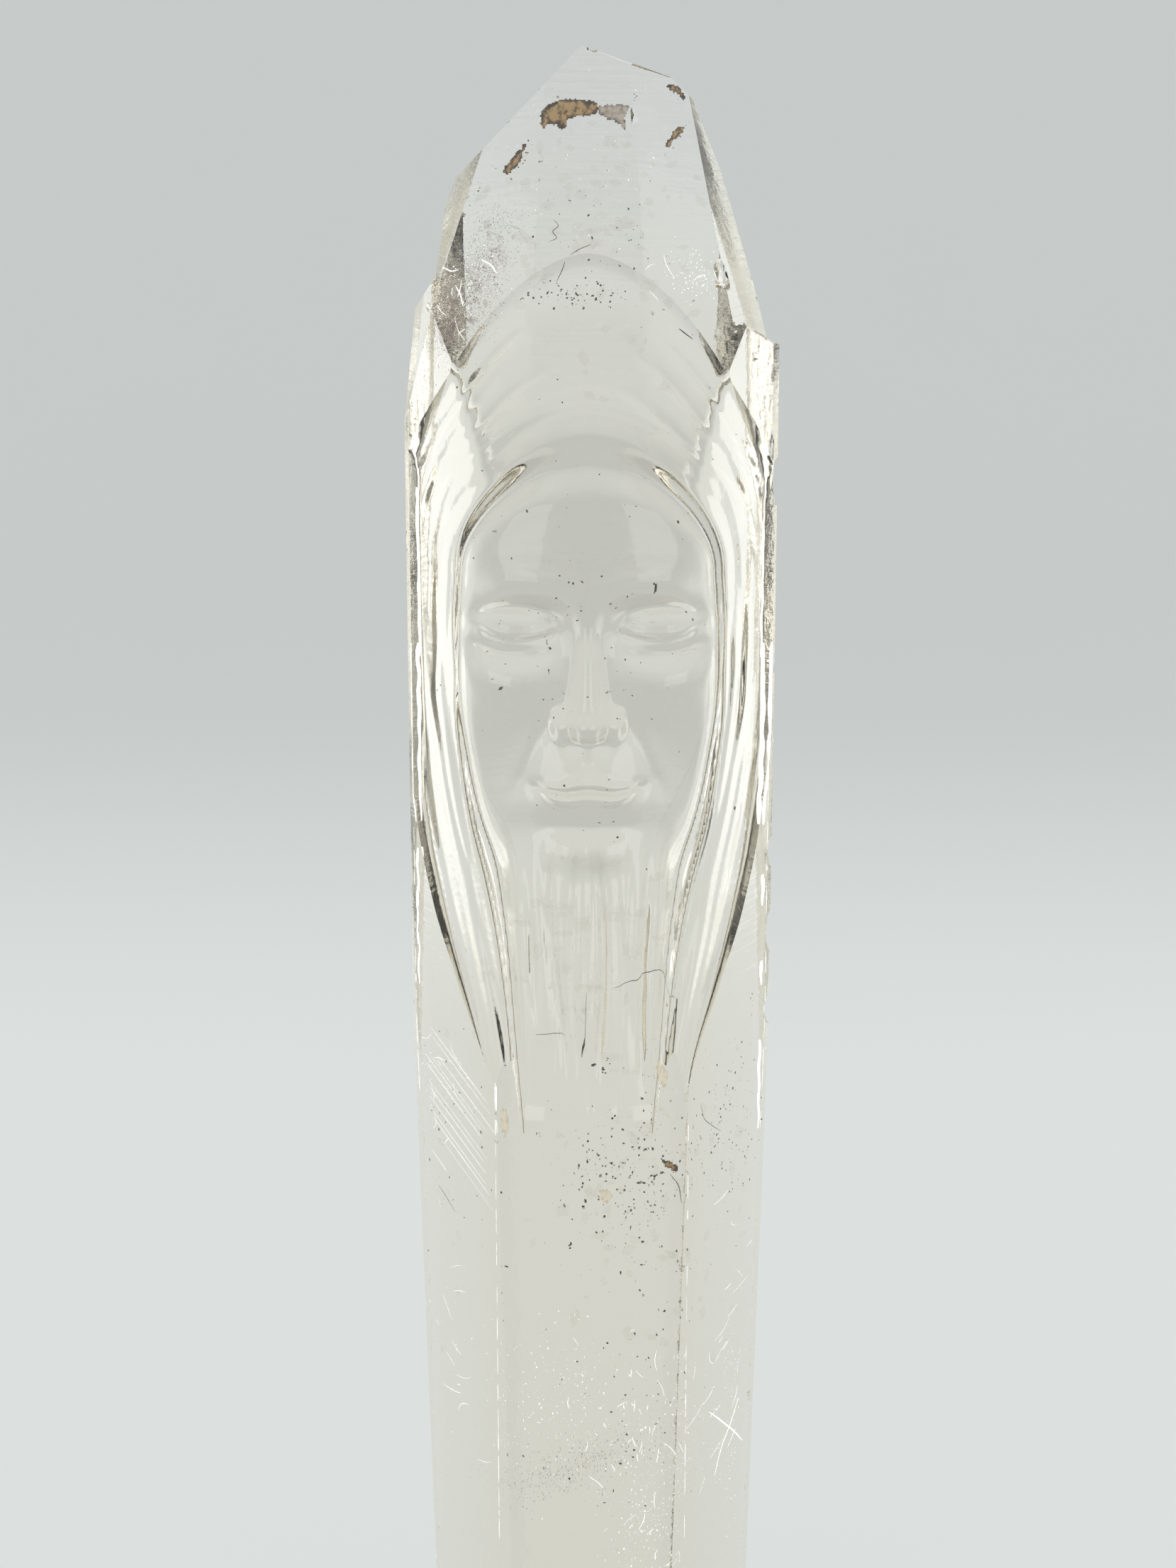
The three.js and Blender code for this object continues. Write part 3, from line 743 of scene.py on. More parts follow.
class QuartzStage(PropertyGroup):
    """The floor, the lamps and the camera."""

    floor_color: FloatVectorProperty(
        name="Floor", description="Colour of the floor and the wall",
        subtype="COLOR", default=(0.20, 0.205, 0.203), min=0, max=1,
    )
    glow_color: FloatVectorProperty(
        name="Glow", description="Colour of the light through the sweep",
        subtype="COLOR", default=(0.965, 1.0, 0.975), min=0, max=1,
    )
    floor_glow: FloatProperty(
        name="Floor glow", description="Light through the floor", default=0.56, min=0,
    )
    wall_glow: FloatProperty(
        name="Wall glow", description="Light through the wall", default=0.415, min=0,
    )
    side_glow: FloatProperty(
        name="Side glow", description="More light through the sweep at both sides", default=0.2, min=0,
    )
    sky: FloatVectorProperty(
        name="Room light", description="Colour of the light all round",
        subtype="COLOR", default=(0.86, 0.91, 0.94), min=0, max=1,
    )
    sky_strength: FloatProperty(
        name="Room strength", description="Strength of the light all round", default=0.78, min=0,
    )
    right_power: FloatProperty(
        name="Right lamp", description="Power of the right lamp", default=0.026, min=0, unit="POWER",
    )
    left_power: FloatProperty(
        name="Left lamp", description="Power of the left lamp", default=0.022, min=0, unit="POWER",
    )
    front_power: FloatProperty(
        name="Front lamps", description="Power of each front lamp", default=0.35, min=0, unit="POWER",
    )
    top_power: FloatProperty(
        name="Top panel", description="Power of the panel above", default=0.25, min=0, unit="POWER",
    )
    elevation: FloatProperty(
        name="Camera elevation", description="How far the camera looks down",
        default=math.radians(15), unit="ROTATION",
    )
    distance: FloatProperty(
        name="Camera distance", description="Camera to crystal", default=0.24, min=0.05, unit="LENGTH",
    )
    lens: FloatProperty(
        name="Lens", description="Focal length in millimetres on a 36 mm frame height",
        default=71.45, min=10,
    )
    look_at: FloatProperty(
        name="Aim height", description="Height that the camera looks at", default=0.0848, unit="LENGTH",
    )


# Pieces

# Tags that the cuts leave on the faces, and the angles in degrees that decide what is done to an edge
GROWN = "grown"
CARVING = "carving"
FLAT_WITHIN = 0.5
WORN_OVER = 12
CHIPPED_OVER = 18


def mark_faces(piece):
    """Marks the carving's faces, and keeps every edge crisp but those in the carving."""
    mesh = piece.data
    names = [m.name for m in mesh.materials]
    bm = bmesh.new()
    bm.from_mesh(mesh)
    carved = bm.faces.layers.float.new("carved")
    for face in bm.faces:
        face[carved] = float(names[face.material_index] == CARVING)
        face.smooth = True
        face.material_index = 0
    for edge in bm.edges:
        edge.smooth = all(face[carved] > 0 for face in edge.link_faces)
    bm.to_mesh(mesh)
    bm.free()
    mesh.materials.clear()


def make_crystal(shape, look):
    """Joins the two crystals, wears and chips their edges, and carves the front."""
    body = hulls_object("carved_crystal", [corners(MAIN_PLANES)])
    body.data.materials.append(bpy.data.materials.new(GROWN))
    combine(body, hulls_object("side", [corners(SIDE_PLANES)]), "UNION", GROWN)
    dissolve = body.modifiers.new("flat", "DECIMATE")
    dissolve.decimate_type = "DISSOLVE"
    dissolve.angle_limit = math.radians(FLAT_WITHIN)
    settle(body)
    edges = sharp_edges(body, CHIPPED_OVER)
    lenses = chip_lenses(edges, shape.chips_per_mm, np.random.default_rng(shape.seed))
    bevel = body.modifiers.new("worn", "BEVEL")
    bevel.width = shape.edge_round
    bevel.segments = 2
    bevel.limit_method = "ANGLE"
    bevel.angle_limit = math.radians(WORN_OVER)
    settle(body)
    combine(body, hulls_object("chips", lenses), "DIFFERENCE", GROWN)
    combine(body, break_object(np.random.default_rng(shape.seed)), "DIFFERENCE", GROWN)
    combine(body, waste_object(shape.carving_step / MM), "DIFFERENCE", CARVING)
    mark_faces(body)
    body.data.materials.append(quartz_material(look))
    for tag in (GROWN, CARVING):
        bpy.data.materials.remove(bpy.data.materials[tag])
    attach(body, BODY)
    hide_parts(NODE)


class QUARTZ_OT_crystal(Operator):
    """Make the carved crystal"""

    bl_idname = "quartz.crystal"
    bl_label = "Carved crystal"

    def execute(self, context):
        make_crystal(context.scene.quartz_shape, context.scene.quartz_look)
        return {"FINISHED"}


# Marks inside the crystal, placed by x and z at a depth under its front

FAR = 1e9
# The front can slope, so its clearance along y is this many times the margin
STEEP_FRONT = 1.6


def front_of(planes, x, z):
    """The y where a line from the front meets the body inside the planes."""
    y = np.full(np.shape(x), -FAR)
    for normal, distance in planes:
        if normal[1] < -TOUCHING:
            y = np.maximum(y, (distance - normal[0] * x - normal[2] * z) / normal[1])
    return y


def front_y(x, z):
    """The y of the carved crystal's front at a place."""
    x, z = np.asarray(x, float), np.asarray(z, float)
    grown = np.minimum(front_of(MAIN_PLANES, x, z), front_of(SIDE_PLANES, x, z))
    cut = (z > CARVED_FROM) & (z < CARVED_TO) & (np.abs(x) < CARVED_HALF_WIDTH)
    return np.where(cut, np.maximum(grown, -carved_height(x, z)), grown)


def inside(points, margin):
    """Which points lie in the crystal, further than a margin from its faces."""
    within = np.zeros(len(points), bool)
    for planes in (MAIN_PLANES, SIDE_PLANES):
        normals = np.array([n for n, _ in planes])
        distances = np.array([d for _, d in planes])
        within |= (points @ normals.T < distances - margin).all(axis=1)
    return within & (points[:, 1] > front_y(points[:, 0], points[:, 2]) + STEEP_FRONT * margin)


def placed(x, z, depth):
    """Points at a depth under the front."""
    return np.stack([x, front_y(x, z) + depth, z], -1)


GRAIN_ENDS = np.array([(1, 0, 0), (-1, 0, 0), (0, 1, 0), (0, -1, 0), (0, 0, 1), (0, 0, -1)], float)
GRAIN_FACETS = np.array([
    (0, 2, 4), (2, 1, 4), (1, 3, 4), (3, 0, 4), (2, 0, 5), (1, 2, 5), (3, 1, 5), (0, 3, 5),
])


def set_shade(piece, domain, values):
    """Stores a shade from 0 to 1 for each face or point."""
    shade = piece.data.attributes.new("shade", "FLOAT", domain)
    shade.data.foreach_set("value", values.astype(np.float32))


# Room for a grain inside the faces, as a share of the largest
GRAIN_ROOM = 1.05


def grain_object(name, points, sizes, rng, thin=0.7):
    """Many small closed grains as one piece, each with its own shade."""
    kept = inside(points, sizes.max() * GRAIN_ROOM)
    points, sizes = points[kept], sizes[kept]
    count = len(points)
    turn = np.linalg.qr(rng.normal(size=(count, 3, 3)))[0]
    turn[:, 0] *= np.sign(np.linalg.det(turn))[:, None]
    stretch = rng.uniform(0.55, 1.0, size=(count, 1, 3)) * [1.0, 0.8, thin]
    shape = GRAIN_ENDS[None] * rng.uniform(0.7, 1.0, size=(count, 6, 1)) * stretch * sizes[:, None, None]
    corners_of = np.einsum("nij,nkj->nki", turn, shape) + points[:, None]
    faces = (GRAIN_FACETS[None] + len(GRAIN_ENDS) * np.arange(count)[:, None, None]).reshape(-1, 3)
    piece = mesh_object(name, corners_of.reshape(-1, 3), faces.tolist())
    set_shade(piece, "FACE", np.repeat(rng.random(count), len(GRAIN_FACETS)))
    return piece


SPREAD = 0.6
SHALLOWEST = 0.2


def cloud(rng, count, x, z, depth, wide, high, deep, turn=0.0):
    """A scatter of points round a place: half width, half height and half depth, turned in the x, z plane."""
    spread = rng.normal(size=(count, 3)) * SPREAD
    c, s = math.cos(math.radians(turn)), math.sin(math.radians(turn))
    across_it, up_it = spread[:, 0] * wide, spread[:, 1] * high
    at_x, at_z = x + across_it * c - up_it * s, z + across_it * s + up_it * c
    return placed(at_x, at_z, np.maximum(depth + spread[:, 2] * deep, SHALLOWEST))


def clouds(rng, rows):
    """The points of several clouds together."""
    return np.concatenate([cloud(rng, *row) for row in rows])


def ride_inside(piece, material):
    """Finishes a piece that lies in the crystal."""
    piece.data.materials.append(material)
    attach(piece, BODY)


# Where a mineral's colours stand on its ramp: low and high, or rim, low and high
PLAIN_STOPS = (0.4, 0.9)
RIM_STOPS = (0.52, 0.72, 0.98)
GRAIN_SHARE = 0.4
MOTTLE_FROM, MOTTLE_GAIN = 0.2, 1.7


def mineral_material(name, low, high, glow, cover, rim=None):
    """A mineral in the crystal: its colours by grain and mottling, partly see-through, and a painted glow in
    the same colours that stands in for the light from behind.
    """
    material, tree, shader, _ = new_material(name)
    mottle = noise(tree, (2.6, 1.7, 1.5), 4.0, 0.65)
    patchy = math_node(tree, "MULTIPLY", math_node(tree, "SUBTRACT", mottle, MOTTLE_FROM), MOTTLE_GAIN)
    by_grain = math_node(tree, "MULTIPLY", face_value(tree, "shade"), GRAIN_SHARE)
    stops = zip(RIM_STOPS, (rim, low, high)) if rim else zip(PLAIN_STOPS, (low, high))
    color = color_ramp(tree, math_node(tree, "ADD", by_grain, patchy), stops)
    # Painted light: the emission makes the mineral glow in its own colour, in place of the light that would
    # reach it through the quartz
    feed(tree, shader, {
        "Base Color": color,
        "Emission Color": color,
        "Emission Strength": glow,
        "Roughness": 0.5,
        "Alpha": cover,
    })
    return material


# Iron stains: outlines in x and z on the front, drawn

GOLDEN_STAIN = (
    (-3.6, 134.9), (-3.4, 135.4), (-2.9, 135.7), (-2.4, 136.0), (-1.8, 136.1), (-1.0, 136.1), (0.3, 136.0),
    (0.8, 135.7), (0.8, 135.0), (0.3, 134.9), (-0.5, 134.8), (-1.2, 134.7), (-1.5, 134.5),
    (-1.7, 133.9), (-2.2, 133.9), (-2.4, 134.3), (-3.0, 134.2), (-3.3, 133.8), (-3.6, 134.3),
)
SMOKY_STAIN = (
    (0.7, 135.7), (1.3, 135.65), (2.3, 135.75), (3.2, 135.7), (2.9, 134.8), (2.8, 133.8), (2.4, 134.1),
    (1.9, 134.5), (1.3, 134.7), (0.7, 135.0),
)
LEAF_STAIN = (
    (-6.5, 131.0), (-5.7, 132.0), (-5.1, 132.6), (-4.6, 133.2), (-4.1, 133.6),
    (-4.5, 132.9), (-4.8, 132.2), (-5.1, 131.5), (-5.6, 130.9), (-6.1, 130.7),
)
TWIG_STAIN = (
    (5.6, 132.7), (6.1, 133.4), (6.5, 134.1), (7.4, 134.2), (7.1, 133.6), (6.6, 133.3), (6.1, 132.6),
)
CRUMB_STAIN = (
    (5.8, 137.0), (6.4, 137.2), (6.9, 137.0), (7.4, 136.2), (7.1, 136.0), (6.6, 136.5), (6.1, 136.6),
)
FLAKE_STAIN = ((5.5, 58.7), (6.1, 58.6), (6.8, 58.1), (6.9, 57.5), (6.3, 57.7), (5.7, 58.1))
PALE_STAINS = (
    ((5.1, 66.1), (5.9, 65.9), (6.1, 65.0), (5.7, 64.2), (5.2, 64.9)),
    ((-6.6, 62.8), (-6.1, 62.7), (-5.9, 61.2), (-6.2, 60.2), (-6.6, 60.9)),
    ((0.9, 56.1), (1.5, 56.3), (2.0, 55.6), (1.5, 54.9), (1.0, 55.2)),
)


def outline_distance(x, z, outline):
    """Millimetres from places to an outline, positive inside it."""
    nearest = np.full(x.shape, FAR)
    within = np.zeros(x.shape, bool)
    ends = np.array(outline, float)
    for (ax, az), (bx, bz) in zip(ends, np.roll(ends, -1, axis=0)):
        dx, dz = bx - ax, bz - az
        t = np.clip(((x - ax) * dx + (z - az) * dz) / (dx * dx + dz * dz), 0, 1)
        nearest = np.minimum(nearest, np.hypot(x - ax - t * dx, z - az - t * dz))
        crosses = (az > z) != (bz > z)
        within ^= crosses & (x < ax + (z - az) * dx / (dz or 1 / FAR))
    return np.where(within, nearest, -nearest)


def stain_parts(outline, depth, thick, spacing, phase):
    """The points, faces and rims of one stain: a thin closed lens under the front, with a ragged edge."""
    ends = np.array(outline, float)
    low, high = ends.min(axis=0) - spacing, ends.max(axis=0) + spacing
    x, z = np.meshgrid(np.arange(low[0], high[0], spacing), np.arange(low[1], high[1], spacing))
    ragged = 0.06 * np.sin(7 * x + phase) * np.sin(6 * z + 2 * phase) + 0.04 * np.sin(17 * x - 11 * z + phase)
    d = outline_distance(x, z, outline) + ragged
    full = np.clip(d / 0.3, 0.05, 1) ** 0.5 * (0.75 + 0.25 * np.sin(5 * x + 4 * z + phase))
    y = front_y(x, z) + depth + 0.05 * np.sin(4 * x - 3 * z)
    front = np.stack([x, y, z], -1).reshape(-1, 3)
    back = front + np.array([0, 1, 0]) * (thick * full).reshape(-1, 1)
    k = np.arange(x.size).reshape(x.shape)
    cells = np.stack([k[:-1, :-1], k[:-1, 1:], k[1:, 1:], k[1:, :-1]], -1).reshape(-1, 4)
    cells = cells[(d.reshape(-1)[cells] > 0).all(axis=1)]
    edges = {(int(c[i]), int(c[(i + 1) % 4])) for c in cells for i in range(4)}
    sides = [(b, a, a + x.size, b + x.size) for a, b in edges if (b, a) not in edges]
    faces = cells.tolist() + (cells[:, ::-1] + x.size).tolist() + sorted(sides)
    rim = np.clip(1.15 - d / 0.26, 0, 1).reshape(-1)
    return np.concatenate([front, back]), faces, np.concatenate([rim, rim])


STAIN_SPACING = 0.1


def stain_object(name, stains):
    """Several stains as one piece, with a shade that is 0 at their rims."""
    points, faces, shades, count = [], [], [], 0
    for i, (outline, depth, thick) in enumerate(stains):
        p, f, rim = stain_parts(outline, depth, thick, STAIN_SPACING, 1.7 * i + 0.4)
        points.append(p)
        faces += [[v + count for v in face] for face in f]
        shades.append(1 - rim)
        count += len(p)
    piece = mesh_object(name, np.concatenate(points), faces)
    set_shade(piece, "POINT", np.concatenate(shades))
    bm = bmesh.new()
    bm.from_mesh(piece.data)
    bmesh.ops.delete(bm, geom=[v for v in bm.verts if not v.link_faces], context="VERTS")
    bmesh.ops.recalc_face_normals(bm, faces=bm.faces[:])
    bm.to_mesh(piece.data)
    bm.free()
    return piece


GOLDEN_STAINS = (
    (GOLDEN_STAIN, 0.25, 0.3), (LEAF_STAIN, 0.22, 0.25), (TWIG_STAIN, 0.2, 0.2), (CRUMB_STAIN, 0.2, 0.2),
    (FLAKE_STAIN, 0.25, 0.2),
)
STAIN_RIM = (0.045, 0.03, 0.018)


def make_stains(look, rng):
    amber = mineral_material("amber_stain", (0.13, 0.075, 0.035), look.stain, look.stain_painted_glow, 0.9, STAIN_RIM)
    ride_inside(stain_object("amber_stains", GOLDEN_STAINS), amber)
    smoke = mineral_material("smoky_stain", (0.26, 0.20, 0.15), (0.42, 0.36, 0.30), 0.5, 0.7, STAIN_RIM)
    ride_inside(stain_object("smoky_stain", [(SMOKY_STAIN, 0.25, 0.2)]), smoke)
    tan = mineral_material("tan_stain", (0.46, 0.40, 0.28), (0.64, 0.58, 0.45), 0.55, 0.55)
    ride_inside(stain_object("tan_stains", [(outline, 0.3, 0.2) for outline in PALE_STAINS]), tan)
    rust = mineral_material("rust_grains", (0.05, 0.03, 0.02), (0.30, 0.19, 0.08), 0.5, 0.95)
    points = clouds(rng, RUST_CLOUDS)
    ride_inside(grain_object("rust_grains", points, 0.05 + 0.13 * rng.random(len(points)) ** 2, rng), rust)


# Dark specks: x, z and radius
DARK_SPECKS = (
    (-1.4, 128.9, 0.1), (2.3, 124.5, 0.13), (-4.8, 122.2, 0.12), (5.5, 121.5, 0.09), (7.7, 122.1, 0.12),
    (-3.5, 115.6, 0.08), (-7.4, 113.3, 0.1), (9.4, 114.8, 0.08), (10.7, 112.8, 0.09), (9.6, 104.7, 0.08),
    (-6.7, 106.1, 0.12), (-3.7, 96.1, 0.1), (1.3, 94.3, 0.17), (-1.8, 94.2, 0.07), (-2.6, 93.7, 0.07),
    (2.6, 94.4, 0.08), (-9.3, 99.5, 0.09), (-7.0, 95.0, 0.09), (-1.4, 51.5, 0.24), (0.2, 59.4, 0.2),
    (1.8, 58.3, 0.18), (5.0, 57.1, 0.26), (-3.8, 60.6, 0.14), (-6.2, 49.8, 0.16), (0.4, 66.0, 0.2),
    (1.2, 65.7, 0.2), (1.6, 66.4, 0.16), (-10.5, 52.6, 0.2), (-9.9, 55.4, 0.14), (3.2, 53.0, 0.13),
)


# Clouds of grains: count, x, z, depth, half width, half height, half depth and turn
RUST_CLOUDS = (
    (34, 6.6, 136.6, 0.35, 0.9, 0.35, 0.1, -35),
    (34, 6.6, 133.4, 0.35, 1.1, 0.25, 0.1, 48),
    (8, -2.3, 136.2, 0.35, 0.25, 0.12, 0.1),
    (9, 3.6, 136.2, 0.35, 0.25, 0.2, 0.1, 60),
    (20, -5.0, 131.6, 0.35, 1.2, 0.15, 0.1, 50),
    (16, -8.1, 129.8, 0.35, 0.12, 0.4, 0.1, -25),
    (14, -11.2, 123.0, 0.35, 0.15, 0.4, 0.1),
    (14, -12.8, 116.8, 0.35, 0.15, 0.35, 0.1),
    (12, -13.6, 114.2, 0.35, 0.1, 0.5, 0.1),
    (22, 12.6, 68.0, 0.35, 0.12, 0.9, 0.1),
    (20, 7.1, 49.7, 0.35, 0.12, 0.7, 0.1, 25),
    (10, 6.2, 57.9, 0.35, 0.5, 0.2, 0.1, -35),
    (14, -12.9, 77.0, 0.35, 0.2, 0.8, 0.1),
    (14, -10.8, 93.5, 0.35, 0.5, 0.6, 0.1),
)
SPECK_CLOUDS = (
    (330, 3.2, 56.5, 2.6, 5.2, 5.8, 1.6),
    (210, 10.6, 58.0, 1.4, 2.2, 6.5, 0.9),
    (80, -10.0, 57.0, 1.4, 2.4, 7.0, 0.9),
    (90, -0.5, 122.4, 0.8, 3.4, 0.9, 0.4),
    (70, 1.0, 126.0, 1.5, 7.0, 5.0, 0.8),
    (150, 0.0, 99.0, 1.6, 7.5, 15.0, 0.9),
    (90, 3.0, 38.0, 2.0, 5.0, 10.0, 1.4),
)
DUSKY_CLOUDS = (
    (4200, -8.8, 122.4, 0.9, 1.9, 3.0, 0.5, -24),
    (1700, -10.2, 119.9, 0.9, 1.4, 2.0, 0.4, -20),
    (800, -6.9, 124.9, 0.8, 1.3, 1.0, 0.3, 20),
    (300, -11.3, 125.6, 0.6, 0.5, 0.8, 0.2),
    (700, -6.6, 127.2, 1.0, 2.2, 1.4, 0.4, 20),
    (2200, -0.8, 32.4, 3.0, 5.8, 1.7, 0.8, 22),
)
DUSKY_VEILS = (
    (60, -8.9, 122.3, 1.4, 1.7, 2.6, 0.5, -24),
    (26, -10.2, 119.8, 1.4, 1.0, 1.4, 0.4, -20),
    (16, -6.9, 126.2, 1.4, 1.6, 1.0, 0.4, 20),
)
WARM_HAZE = (
    (210, 0.3, 127.5, 2.2, 7.5, 9.5, 1.0),
    (70, 0.0, 74.0, 2.5, 5.5, 8.0, 1.0),
    (80, 4.0, 55.0, 2.5, 6.5, 9.0, 1.0),
    (70, 10.6, 56.0, 2.0, 2.0, 13.0, 0.8),
    (70, -10.4, 54.0, 2.0, 2.0, 13.0, 0.8),
)
MILKY_CLOUDS = (
    (240, 8.2, 123.6, 0.5, 2.0, 1.3, 0.25, -20),
    (200, -8.4, 123.8, 0.7, 1.6, 1.6, 0.3, -50),
    (260, -12.2, 118.5, 0.5, 1.0, 2.6, 0.3),
    (140, 0.0, 130.5, 1.2, 7.0, 5.5, 0.8),
    (700, 5.0, 30.0, 2.6, 2.8, 8.0, 1.3, -14),
    (500, -2.0, 38.0, 2.6, 4.6, 6.5, 1.3, 30),
    (300, 11.0, 33.0, 1.3, 1.2, 8.0, 0.8),
    (200, -10.6, 62.0, 0.8, 2.0, 2.6, 0.3, -10),
)
GRAINS_IN_SPECK = 5


def make_specks(rng):
    ink = mineral_material("dark_specks", (0.02, 0.018, 0.017), (0.11, 0.09, 0.075), 0.25, 0.96)
    x, z, radius = np.repeat(np.array(DARK_SPECKS), GRAINS_IN_SPECK, axis=0).T
    jitter = rng.normal(size=(len(x), 2)) * radius[:, None] * 0.55
    marks = placed(x + jitter[:, 0], z + jitter[:, 1], 0.4 + 0.2 * rng.random(len(x)))
    fine = clouds(rng, SPECK_CLOUDS)
    sizes = np.concatenate([radius * 0.8, 0.06 + 0.2 * rng.random(len(fine)) ** 2.4])
    ride_inside(grain_object("dark_specks", np.concatenate([marks, fine]), sizes, rng, 0.6), ink)


def make_clouds(look, rng):
    dusk = mineral_material("dusky_cloud", (0.16, 0.09, 0.08), look.cloud, 0.3, 0.85)
    dusky = clouds(rng, DUSKY_CLOUDS)
    sizes = 0.022 + 0.07 * rng.random(len(dusky)) ** 2.5
    ride_inside(grain_object("dusky_cloud", dusky, sizes, rng, 0.4), dusk)
    veil = mineral_material("dusky_veil", (0.20, 0.12, 0.10), (0.36, 0.25, 0.22), 0.3, 0.12)
    veiled = clouds(rng, DUSKY_VEILS)
    ride_inside(grain_object("dusky_veil", veiled, rng.uniform(0.35, 0.75, len(veiled)), rng, 0.5), veil)
    haze = mineral_material("warm_haze", (0.40, 0.355, 0.285), (0.58, 0.53, 0.43), 0.42, 0.07)
    hazy = clouds(rng, WARM_HAZE)
    ride_inside(grain_object("warm_haze", hazy, rng.uniform(0.5, 1.2, len(hazy)), rng, 0.5), haze)
    milk = mineral_material("milky_flecks", (0.78, 0.78, 0.76), (0.95, 0.95, 0.94), look.milk_painted_glow, 0.85)
    milky = clouds(rng, MILKY_CLOUDS)
    sizes = 0.03 + 0.08 * rng.random(len(milky)) ** 2
    ride_inside(grain_object("milky_flecks", milky, sizes, rng, 0.4), milk)


# Hairlines: radius, then points as x, z and depth
DARK_HAIRLINES = (
    (0.03, (1.9, 72.0, 0.5), (3.4, 72.4, 0.6), (5.0, 73.1, 0.5), (6.4, 71.0, 0.6)),
    (0.03, (8.4, 62.5, 0.5), (8.6, 61.2, 0.6), (9.3, 60.0, 0.6), (10.1, 59.0, 0.5)),
    (0.03, (-2.5, 127.6, 0.5), (-2.2, 127.2, 0.5), (-2.6, 126.8, 0.5), (-2.3, 126.4, 0.5),
     (-2.9, 126.1, 0.5)),
    (0.05, (6.6, 120.3, 0.4), (7.0, 120.0, 0.45), (7.6, 119.6, 0.4)),
    (0.03, (-1.3, 125.2, 0.6), (-0.6, 125.6, 0.6), (0.2, 125.9, 0.6)),
    (0.03, (-2.3, 123.4, 0.5), (-1.9, 124.2, 0.5), (-1.7, 124.8, 0.5)),
    (0.03, (-0.2, 71.6, 0.6), (-0.3, 69.0, 0.7), (-0.4, 66.6, 0.6)),
    (0.03, (-11.6, 52.9, 0.6), (-11.0, 52.4, 0.6), (-10.2, 51.6, 0.6)),
    (0.03, (6.2, 57.4, 0.5), (6.9, 56.3, 0.6), (7.1, 55.0, 0.6)),
    (0.025, (-3.9, 68.3, 0.4), (-2.6, 68.4, 0.5), (-1.6, 68.3, 0.4)),
)
WHITE_HAIRLINES = (
    (0.07, (9.4, 35.3, 0.7), (10.4, 33.6, 0.8), (11.6, 31.6, 0.7), (12.3, 30.2, 0.7)),
    (0.06, (11.9, 34.4, 0.7), (11.2, 32.7, 0.8), (10.4, 31.0, 0.7), (9.9, 29.2, 0.7)),
    (0.06, (-7.8, 124.9, 0.5), (-7.1, 124.5, 0.6), (-6.7, 124.0, 0.5)),
    (0.05, (-10.6, 124.4, 0.6), (-10.0, 124.1, 0.6), (-9.5, 124.2, 0.6)),
    (0.05, (-9.7, 123.1, 0.8), (-9.3, 122.4, 0.9), (-9.1, 121.7, 0.8)),
    (0.09, (1.9, 138.4, 0.4), (2.2, 138.7, 0.4), (2.4, 138.9, 0.4)),
    (0.05, (2.9, 138.9, 0.4), (2.85, 138.4, 0.4), (2.9, 138.0, 0.4)),
)


TUBE_SIDES = 6
TUBE_END_TURN = 0.25
TUBE_FULLNESS = 0.6
TUBE_CLEARANCE = 0.05
HAIRLINE_POINTS = 18


def tube_parts(path, radius):
    """The points and faces of a closed tube along a path, narrower at both ends."""
    sides = TUBE_SIDES
    path = np.asarray(path, float)
    ahead = np.gradient(path, axis=0)
    ahead /= np.linalg.norm(ahead, axis=1)[:, None]
    one = np.cross(ahead, (0.0, 1.0, 0.0))
    one /= np.linalg.norm(one, axis=1)[:, None]
    two = np.cross(ahead, one)
    turn = np.linspace(0, 2 * math.pi, sides, endpoint=False)
    fat = radius * np.sin(np.linspace(TUBE_END_TURN, math.pi - TUBE_END_TURN, len(path))) ** TUBE_FULLNESS
    ring = one[:, None] * np.cos(turn)[None, :, None] + two[:, None] * np.sin(turn)[None, :, None]
    points = (path[:, None] + ring * fat[:, None, None]).reshape(-1, 3)
    faces = [list(range(sides))[::-1], list(range(len(points) - sides, len(points)))]
    for i in range(len(path) - 1):
        for j in range(sides):
            a, b = i * sides + j, i * sides + (j + 1) % sides
            faces.append([a, b, b + sides, a + sides])
    return points, faces


def hairline(radius, *marks):
    """A hairline's path through its points, and its radius."""
    marks = np.array(marks, float)
    at = np.linspace(0, len(marks) - 1, HAIRLINE_POINTS)
    place = np.arange(len(marks))
    x, z, depth = (line(at, list(zip(place, marks[:, i]))) for i in range(3))
    return placed(x, z, depth), radius


def tube_object(name, rows):
    """Tubes as one piece, from pairs of a path and a radius. A tube that would stand out is left out."""
    points, faces, count = [], [], 0
    for path, radius in rows:
        if not inside(path, radius + TUBE_CLEARANCE).all():
            continue
        p, f = tube_parts(path, radius)
        points.append(p)
        faces += [[v + count for v in face] for face in f]
        count += len(p)
    return mesh_object(name, np.concatenate(points), faces)


def wisp_rows(rng, count, x, z, wide, high, depth):
    """Short bent wisps scattered round a place."""
    rows = []
    for _ in range(count):
        at_x, at_z = x + rng.normal() * wide * SPREAD, z + rng.normal() * high * SPREAD
        lean, long = rng.uniform(0.2, 2.6), rng.uniform(0.2, 0.9) ** 1.4
        t = np.linspace(-1, 1, 6)
        bend = rng.uniform(-0.35, 0.35) * long * t**2
        px = at_x + long * t * math.cos(lean) - bend * math.sin(lean)
        pz = at_z + long * t * math.sin(lean) + bend * math.cos(lean)
        rows.append((placed(px, pz, depth * rng.uniform(0.6, 1.5) + 0.2 * t), rng.uniform(0.012, 0.03)))
    return rows


# Painted glints along the chipped edges: white tubes just inside them that shine in place of lit chips; x at
# the taper's top, the lowest and the highest z
PAINTED_GLINT_EDGES = ((-6.9, 26, 65), (7.5, 26, 62), (13.75, 57, 86), (-13.35, 60, 84))
OUTER_EDGE = 8
PAINTED_GLINT_DEPTH = 0.3
EDGE_TAPER = 1.15 * math.tan(math.radians(TAPER_ANGLE))


